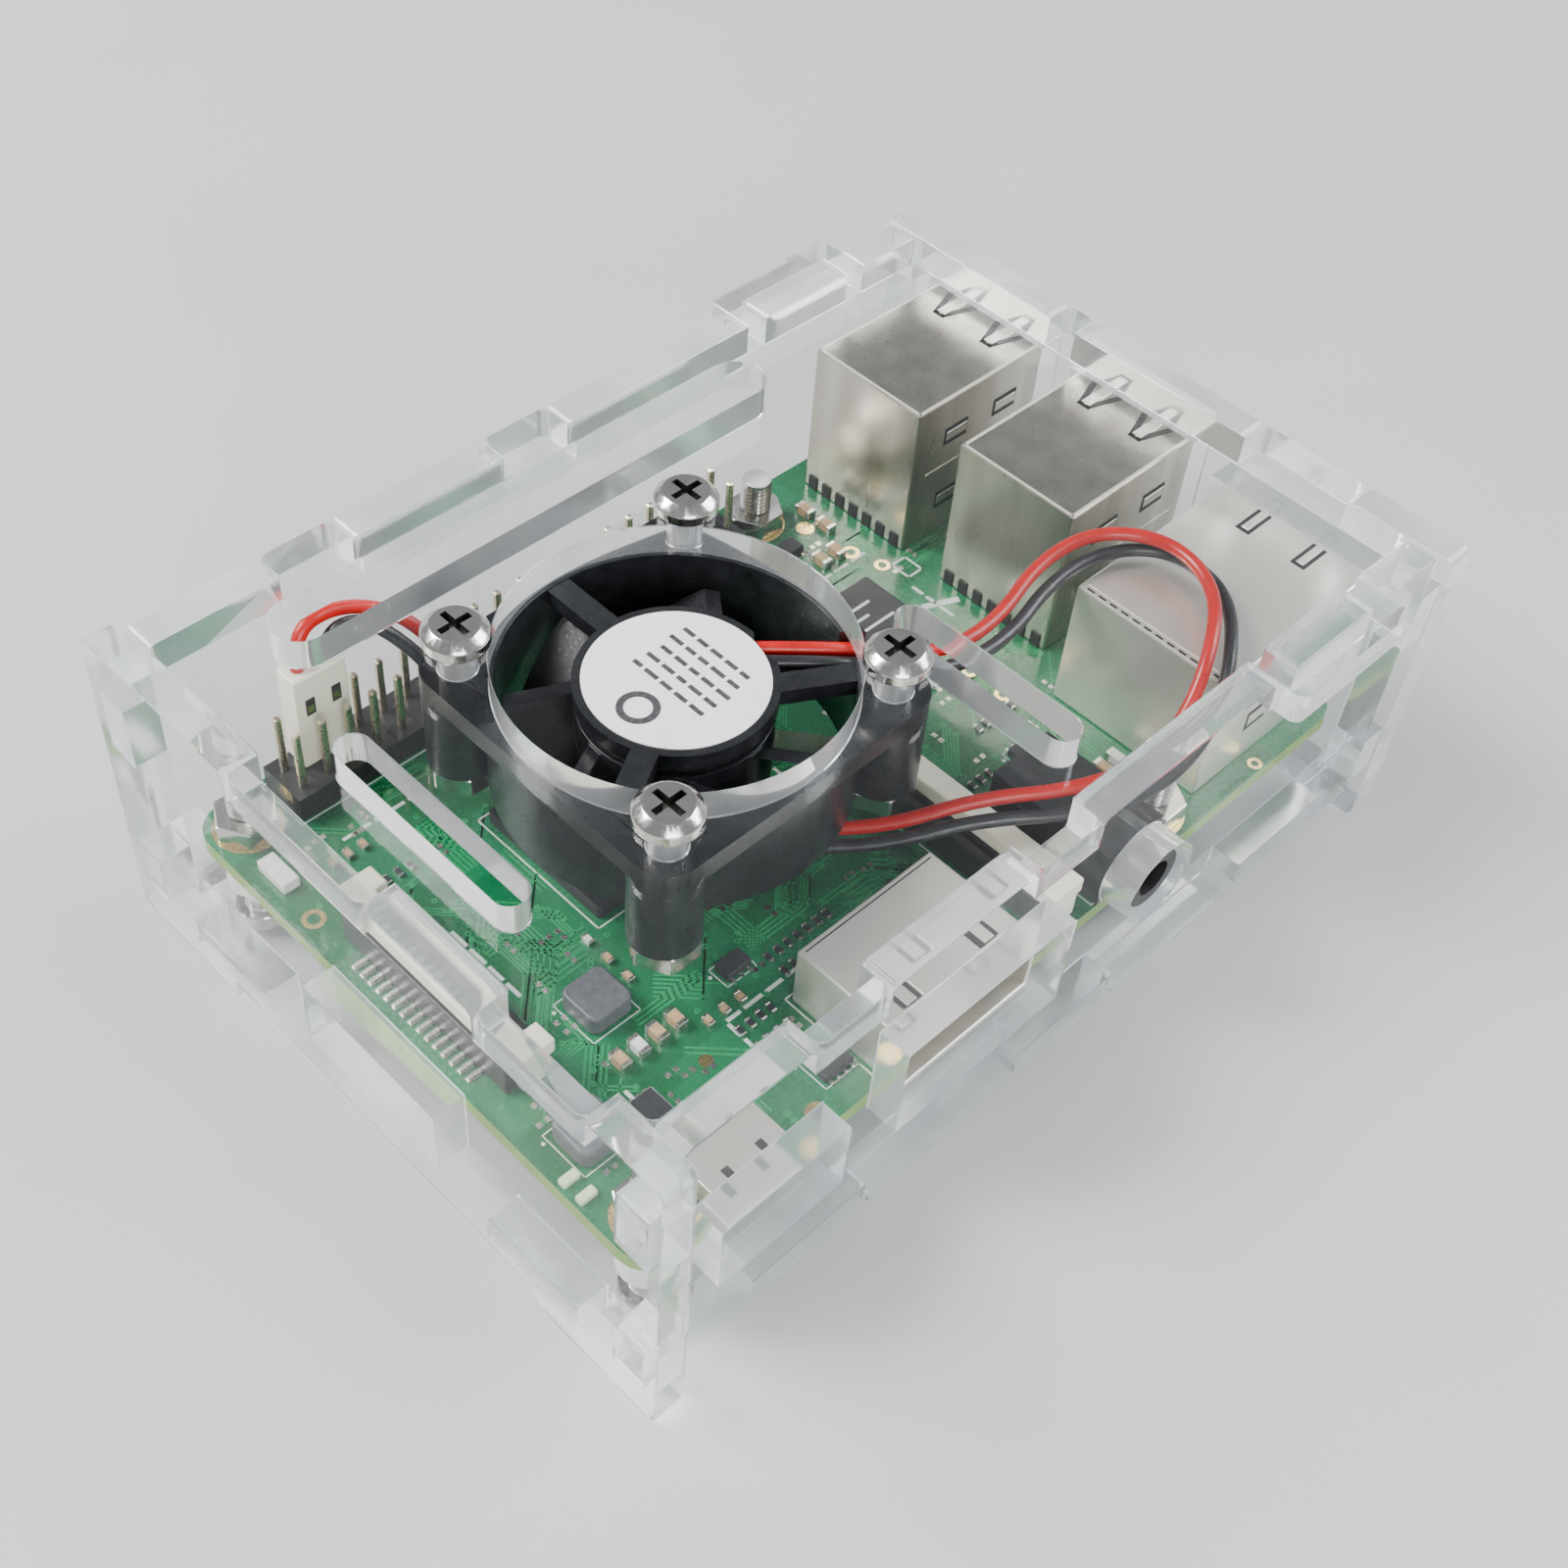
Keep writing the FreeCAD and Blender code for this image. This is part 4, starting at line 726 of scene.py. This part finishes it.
def solder_pads():
    """Bare soldered pads round the network chip, and pairs of small ones at random."""
    pairs, apart = 230, 0.8
    bm = bmesh.new()
    rng = random.Random(7)
    areas = taken_areas(0.2)
    for low, high in islands("network_chip"):
        for number in range(15):
            along = 0.55 + number * (high.x - low.x - 1.1) / 14
            for y in (low.y - 0.3, high.y + 0.3):
                add_box(bm, (low.x + along - 0.11, y - 0.2, 0), (low.x + along + 0.11, y + 0.2, 0.05))
            for x in (low.x - 0.3, high.x + 0.3):
                add_box(bm, (x - 0.2, low.y + along - 0.11, 0), (x + 0.2, low.y + along + 0.11, 0.05))
    for _ in range(pairs):
        x, y = rng.uniform(1, BOARD_LONG - 1), rng.uniform(1, BOARD_WIDE - 1)
        turned = rng.random() < 0.5
        if is_free(areas, x, y) and is_free(areas, x + apart, y + apart) \
                and is_free(areas, x - 0.5, y - 0.5):
            for shift in (0, apart):
                px, py = (x + shift, y) if turned else (x, y + shift)
                add_box(bm, (px - 0.22, py - 0.25, 0), (px + 0.22, py + 0.25, 0.045))
    keep("board_pads", bm, ["solder"])


circuit_board()
traces_and_vias()
plated_holes_and_rings()
silkscreen()
solder_pads()


# ---------------------------------------------------------------- small parts on the board


def tinned_parts(node, bodies):
    """Rows of small two-ended parts: a body between two tinned ends, in one of a few materials."""
    bm = bmesh.new()
    for number, (low, high) in enumerate(islands(node)):
        size = high - low
        end = max(size.x, size.y) * 0.22
        along = 0 if size.x > size.y else 1
        first, second = high.copy(), low.copy()
        first[along] = low[along] + end
        second[along] = high[along] - end
        core_low, core_high = low.copy(), high.copy()
        core_low[along] += end
        core_high[along] -= end
        shrink = Vector((0.03, 0.03, 0))
        shrink[along] = 0
        body = 1 + number * 7 % (len(bodies) + 1) % len(bodies)
        add_box(bm, core_low + shrink, core_high - shrink - Vector((0, 0, 0.03)), body)
        add_box(bm, low, first, 0, 0.05)
        add_box(bm, second, high, 0, 0.05)
    keep(node + "_piece", bm, ["solder"] + bodies, MAIN, [node])


def chips():
    """Packages with a softened rim, a printed dot and generic print bars."""
    for node in ("processor_chip", "network_chip", "memory_chip", "support_chips"):
        refined(node, "chip", 0.1)
    bm = bmesh.new()
    for node in ("processor_chip", "network_chip"):
        low, high = on_board(node)
        width = high.x - low.x
        for row, share in enumerate((0.55, 0.4, 0.62, 0.34)):
            y = high.y - (row + 2) * (high.y - low.y) / 7
            add_bar(bm, (low.x + width * 0.18, y), (low.x + width * (0.18 + share), y), width * 0.035,
                    high.z - 0.02, 0.035)
        add_disc(bm, low.x + width * 0.1, low.y + width * 0.1, high.z - 0.02, 0.035, width * 0.03, 0, 14)
    keep("chip_print", bm, ["silkscreen"])
    legs = bmesh.new()
    for low, high in islands("support_chips"):
        if low.z < -0.5:
            continue
        along = 0 if high.x - low.x < high.y - low.y else 1
        across = 1 - along
        count = max(2, int((high[across] - low[across]) / 0.65))
        for number in range(count):
            middle = low[across] + (number + 0.5) * (high[across] - low[across]) / count
            for edge, way in ((low[along], -1), (high[along], 1)):
                a, b = Vector((0, 0, 0)), Vector((0, 0, 0.22))
                a[across], b[across] = middle - 0.13, middle + 0.13
                a[along], b[along] = sorted((edge, edge + way * 0.42))
                add_box(legs, a, b)
    keep("chip_legs", legs, ["solder"])


def coils_and_crystals():
    """Moulded power coils, crystal cans, the chip antenna and the status lamps."""
    refined("inductors", "coil", 0.25, 3)
    refined("crystals", "nickel", 0.3, 3)
    refined("chip_antenna", "white_ceramic", 0.08, 1)
    refined("status_lamps", "lens", 0.08, 1)


tinned_parts("capacitors", ["ceramic", "ceramic", "white_ceramic", "ceramic"])
tinned_parts("resistors", ["glaze"])
chips()
coils_and_crystals()


# ---------------------------------------------------------------- sockets


def spring(bm, x, y, z):
    """A cut-out painted dark as shade, with a bright tongue in it, lying along X on a shell's top and
    ending at x.
    """
    length, width, gap = 3.6, 1.5, 0.45
    add_box(bm, (x - length, y - width / 2, z), (x, y + width / 2, z + 0.02), 1)
    add_box(bm, (x - (length - gap), y - width / 4, z), (x - 0.05, y + width / 4, z + 0.09), 0, 0.03)


def usb_shell(node, middle):
    """A two-port shell: folded tin with spring cut-outs, seams and solder comb; its roof edges and
    tongues are painted paler as highlights, and the cut-outs and the gaps of the comb are painted dark as
    shade.
    """
    bm = copied(node)
    soften(bm, 0.18, 2)
    roof, side_low, side_high = USB_TOP - 0.01, middle - 6.3, middle + 6.3
    for shift in (-3.0, 3.0):
        y = middle + shift
        # painted shade: dark strips for the spring's cut lines and cross bar; painted highlight: the
        # tongue in brighter tin
        for way in (-1, 1):
            add_bar(bm, (USB_FACE - 0.9, y + way * 1.65), (USB_FACE - 4.4, y + way * 0.45), 0.62,
                    roof, 0.03, 1)
        add_bar(bm, (USB_FACE - 4.7, y - 0.5), (USB_FACE - 4.7, y + 0.5), 0.4, roof, 0.03, 1)
        add_bar(bm, (USB_FACE - 1.0, y), (USB_FACE - 3.9, y), 1.0, roof, 0.12, 3)
    # painted highlight: paler strips along the roof's edges
    for start, stop in (((USB_BACK + 0.3, side_low), (USB_FACE - 0.9, side_low)),
                        ((USB_BACK + 0.3, side_high), (USB_FACE - 0.9, side_high)),
                        ((USB_BACK + 0.25, side_low), (USB_BACK + 0.25, side_high))):
        add_bar(bm, start, stop, 0.26, roof, 0.06, 2)
    # painted shade: dark slots between the comb's teeth
    for number in range(7):
        y = middle - 5.4 + number * 1.8
        add_box(bm, (USB_BACK - 0.16, y - 0.5, 0.05), (USB_BACK + 0.02, y + 0.5, 1.5), 1)
    for side in (-1, 1):
        y = middle + side * 6.55
        for x in (USB_FACE - 5.2, USB_FACE - 12.0):
            for z in (4.0, 11.6):
                # painted shade in the side cut-outs, and a painted highlight on their tongues
                add_box(bm, (x - 1.6, y - 0.03, z - 1.0), (x + 1.6, y + 0.03, z + 1.0), 1)
                add_box(bm, (x - 1.3, y - 0.07, z - 0.5), (x + 1.5, y + 0.07, z + 0.5), 3, 0.03)
        add_box(bm, (USB_BACK + 2.0, y - 0.06, 7.6), (USB_FACE - 1.5, y + 0.06, 8.2), 0, 0.03)
    keep(node + "_piece", bm, ["nickel", "painted_shade_and_dark_seam", "rim", "bright_tin"], MAIN, [node])


def ethernet():
    """The network socket: plain tin with a seam and two top springs, over a housing with lamps; its
    stamped slots and spring cut-outs are painted dark as shade.
    """
    low, high = on_board("ethernet_shell")
    bm = copied("ethernet_shell")
    soften(bm, 0.2, 2)
    # painted shade: a row of dark slots along the rear of the roof, and dark side cut-outs below
    for number in range(12):
        y = low.y + 1.2 + number * (high.y - low.y - 2.4) / 11
        add_box(bm, (low.x + 0.28, y - 0.4, high.z - 0.02), (low.x + 0.5, y + 0.4, high.z + 0.02), 1)
    middle = (low.y + high.y) / 2
    add_bar(bm, (low.x + 0.9, low.y + 0.6), (low.x + 0.9, high.y - 0.6), 0.14, high.z - 0.02, 0.04, 2)
    for side in (-1, 1):
        y = middle + side * (high.y - low.y) / 2
        for x in (high.x - 3.2, high.x - 14.0):
            add_box(bm, (x - 1.5, y - 0.03, 4.0), (x + 1.5, y + 0.03, 6.2), 1)
            add_box(bm, (x - 1.2, y - 0.08, 4.5), (x + 1.4, y + 0.08, 5.7), 0, 0.03)
    for shift in (-3.0, 3.0):
        spring(bm, high.x - 1.0, middle + shift, high.z - 0.01)
    keep("ethernet_shell_piece", bm, ["bright_tin", "painted_shade_and_dark_seam", "rim"], MAIN,
         ["ethernet_shell"])
    refined("ethernet_housing", "black_plastic", 0.1, 1)
    refined("ethernet_contacts", "gold", 0.04, 1)
    refined("ethernet_lamps", "lens", 0.1, 1)


def video():
    """The video socket: bright tin with two tongues on its roof in cut-outs painted dark as shade, a
    front rim and a seam; the tongues and the front rim are paler tin as a painted highlight.
    """
    low, high = on_board("video_shell")
    bm = copied("video_shell")
    soften(bm, 0.16, 2)
    for x in (27.6, 36.4):
        # painted shade in the cut-outs, and a painted highlight on the tongues
        add_box(bm, (x - 1.0, 0.9, high.z - 0.01), (x + 1.0, 4.5, high.z + 0.02), 1)
        add_box(bm, (x - 0.55, 0.95, high.z - 0.01), (x + 0.55, 3.8, high.z + 0.1), 2, 0.03)
    # painted highlight: a paler strip along the front edge
    add_bar(bm, (low.x + 0.8, low.y + 0.2), (high.x - 0.8, low.y + 0.2), 0.2, high.z - 0.02, 0.06, 2)
    add_bar(bm, (low.x + 0.5, high.y - 0.5), (high.x - 0.5, high.y - 0.5), 0.12, high.z - 0.02, 0.04, 1)
    keep("video_shell_piece", bm, ["bright_tin", "painted_shade_and_dark_seam", "rim"], MAIN, ["video_shell"])
    refined("video_tongue", "black_plastic", 0.08, 1)
    refined("video_contacts", "gold", 0.03, 1)


def power():
    """The micro USB power socket: small bright shell with two spring holes in its roof, painted dark as
    shade.
    """
    low, high = on_board("power_socket_shell")
    middle = (low.x + high.x) / 2
    bm = copied("power_socket_shell")
    soften(bm, 0.14, 2)
    for side in (-1.7, 1.7):
        add_box(bm, (middle + side - 0.35, low.y + 1.6, high.z - 0.01),
                (middle + side + 0.35, low.y + 2.9, high.z + 0.02), 1)
    add_bar(bm, (low.x + 0.9, low.y + 0.2), (high.x - 0.9, low.y + 0.2), 0.2, high.z - 0.02, 0.05, 0)
    keep("power_socket_shell_piece", bm, ["bright_tin", "painted_shade_and_dark_seam"], MAIN,
         ["power_socket_shell"])
    refined("power_socket_tongue", "black_plastic", 0.06, 1)


def audio():
    """The audio jack: moulded body with a parting line and a round mark, and its contacts."""
    low, high = on_board("audio_jack_body")
    bm = copied("audio_jack_body")
    soften(bm, 0.2, 2)
    middle = (low.x + high.x) / 2
    add_bar(bm, (middle, 0.6), (middle, high.y - 0.6), 0.12, high.z - 0.03, 0.05, 0)
    add_disc(bm, middle, high.y - 2.4, high.z - 0.03, 0.05, 0.9, 0, 20, 0.6)
    keep("audio_jack_body_piece", bm, ["black_plastic"], MAIN, ["audio_jack_body"])
    refined("audio_jack_contacts", "screw", 0.05, 1)


def ribbon_connectors():
    """Both ribbon connectors: black bodies, tinned contacts on pads, and ivory latches that lift."""
    for name in ("display", "camera"):
        refined(name + "_connector_body", "black_plastic", 0.14)
        refined(name + "_connector_contacts", "solder", 0.05, 1)
        refined(name + "_latch", "ivory", 0.16, 3, body=name + "_latch")
        low, high = on_board(name + "_connector_contacts")
        bm = bmesh.new()
        for number in range(15):
            y = (low.y + high.y) / 2 + number - 7
            add_box(bm, (low.x - 0.1, y - 0.3, 0), (high.x - 0.1, y + 0.3, 0.12), 0, 0.04)
        keep(name + "_connector_solder", bm, ["solder"])


def header():
    """The pin header: a base with dark strips of painted shade between the pins where it is notched, and
    forty square pins.
    """
    base_low, base_high = on_board("gpio_header_base")
    bm = copied("gpio_header_base")
    soften(bm, 0.12, 1)
    for number in range(1, 20):
        x = base_low.x + number * (base_high.x - base_low.x) / 20
        for y in (base_low.y, base_high.y):
            # painted shade: dark strips on the sides and the top where the base is notched
            add_box(bm, (x - 0.12, y - 0.03, 0.1), (x + 0.12, y + 0.03, base_high.z - 0.1), 1)
        add_box(bm, (x - 0.12, base_low.y + 0.2, base_high.z - 0.02),
                (x + 0.12, base_high.y - 0.2, base_high.z + 0.02), 1)
    keep("gpio_header_base_piece", bm, ["black_plastic", "painted_shade_and_dark_seam"], MAIN,
         ["gpio_header_base"])
    refined("gpio_header_pins", "pin", 0.14, 1)


for name, middle in zip(("inner_usb", "outer_usb"), USB_MIDDLES):
    usb_shell(name + "_shell", middle)
    refined(name + "_insulator", "black_plastic", 0.08, 1)
    refined(name + "_contacts", "gold", 0.03, 1)
ethernet()
video()
power()
audio()
ribbon_connectors()
header()
refined("card_socket_shell", "nickel", 0.12, 2)
refined("card_socket_frame", "black_plastic", 0.06, 1)


# ---------------------------------------------------------------- fan


def fan():
    """The fan: glossy moulded frame and rotor, and the motor's parts inside the hub."""
    refined("fan_frame", "fan_black", 0.16, 2)
    refined("fan_rotor", "fan_black", 0.14, 2, body="rotor")
    refined("fan_magnet_ring", "ferrite", 0.08, 1, body="rotor")
    refined("fan_shaft", "screw", 0.12, 2, body="rotor")
    refined("fan_bearing", "brass", 0.1, 1)
    refined("fan_stator", "core", 0.06, 1)
    refined("fan_motor_board", "mask", 0.05, 1)


def fan_label():
    """A round white label with rows of plain dark bars and a plain ring, and no lettering."""
    print_radius, row_pitch, gap = 6.2, 1.35, 0.8
    top = on_board("fan_label")[1].z - 0.01
    bm = copied("fan_label")
    rng = random.Random(3)
    across, along = Vector((0, -1)), Vector((1, 0))
    for row in range(5):
        place = -3.6 + rng.uniform(0, 0.5)
        while place < 3.4:
            length = rng.uniform(0.5, 1.1)
            start = FAN + across * place + along * (4.2 - row * row_pitch)
            stop = start + across * length
            if (start - FAN).length < print_radius and (stop - FAN).length < print_radius:
                add_bar(bm, start, stop, 0.42, top, PRINT, 1)
            place += length + gap
    spot = FAN - along * 4.4 + across * 0.4
    add_disc(bm, spot.x, spot.y, top, PRINT, 1.75, 1, 32, 1.15)
    keep("fan_label_piece", bm, ["paper", "ink"], MAIN, ["fan_label"])


fan()
fan_label()


# ---------------------------------------------------------------- floor and light


def floor():
    """A plain pale floor, a tenth of a millimetre under the feet."""
    reach, gap = 8.0, 0.0001
    low = cad_box[0][2] - gap
    corners = [(-reach, -reach, low), (reach, -reach, low), (reach, reach, low), (-reach, reach, low)]
    mesh = bpy.data.meshes.new("floor")
    mesh.from_pydata(corners, [], [(0, 1, 2, 3)])
    mesh.materials.append(surface("floor", (0.58, 0.58, 0.575), (0.55, 0.55, 0.545), 14, (0.5, 0.62)))
    item = bpy.data.objects.new("floor", mesh)
    bpy.context.scene.collection.objects.link(item)


def lamp(name, place, aim, size, power, colour=(1, 1, 1)):
    """A soft square lamp that points at a place."""
    data = bpy.data.lights.new(name, "AREA")
    data.shape = "SQUARE"
    data.size = size
    data.energy = power
    data.color = colour
    item = bpy.data.objects.new(name, data)
    bpy.context.scene.collection.objects.link(item)
    item.location = place
    item.rotation_mode = "QUATERNION"
    item.rotation_quaternion = (Vector(aim) - Vector(place)).to_track_quat("-Z", "Y")


def studio():
    """A pale floor, soft lamps that the lid doesn't mirror towards the camera, and a surround."""
    floor()
    aim = (0, 0, 0.01)
    lamp("key", (-0.34, 0.42, 0.5), aim, 0.3, 10, (1, 0.985, 0.96))
    lamp("fill", (0.5, -0.28, 0.4), aim, 0.4, 5, (0.94, 0.97, 1))
    lamp("front", (-0.3, -0.5, 0.28), aim, 0.35, 3)
    world = bpy.data.worlds.new("surround")
    world.use_nodes = True
    background = world.node_tree.nodes["Background"]
    background.inputs["Color"].default_value = (0.72, 0.75, 0.8, 1)
    background.inputs["Strength"].default_value = 0.46
    bpy.context.scene.world = world


studio()
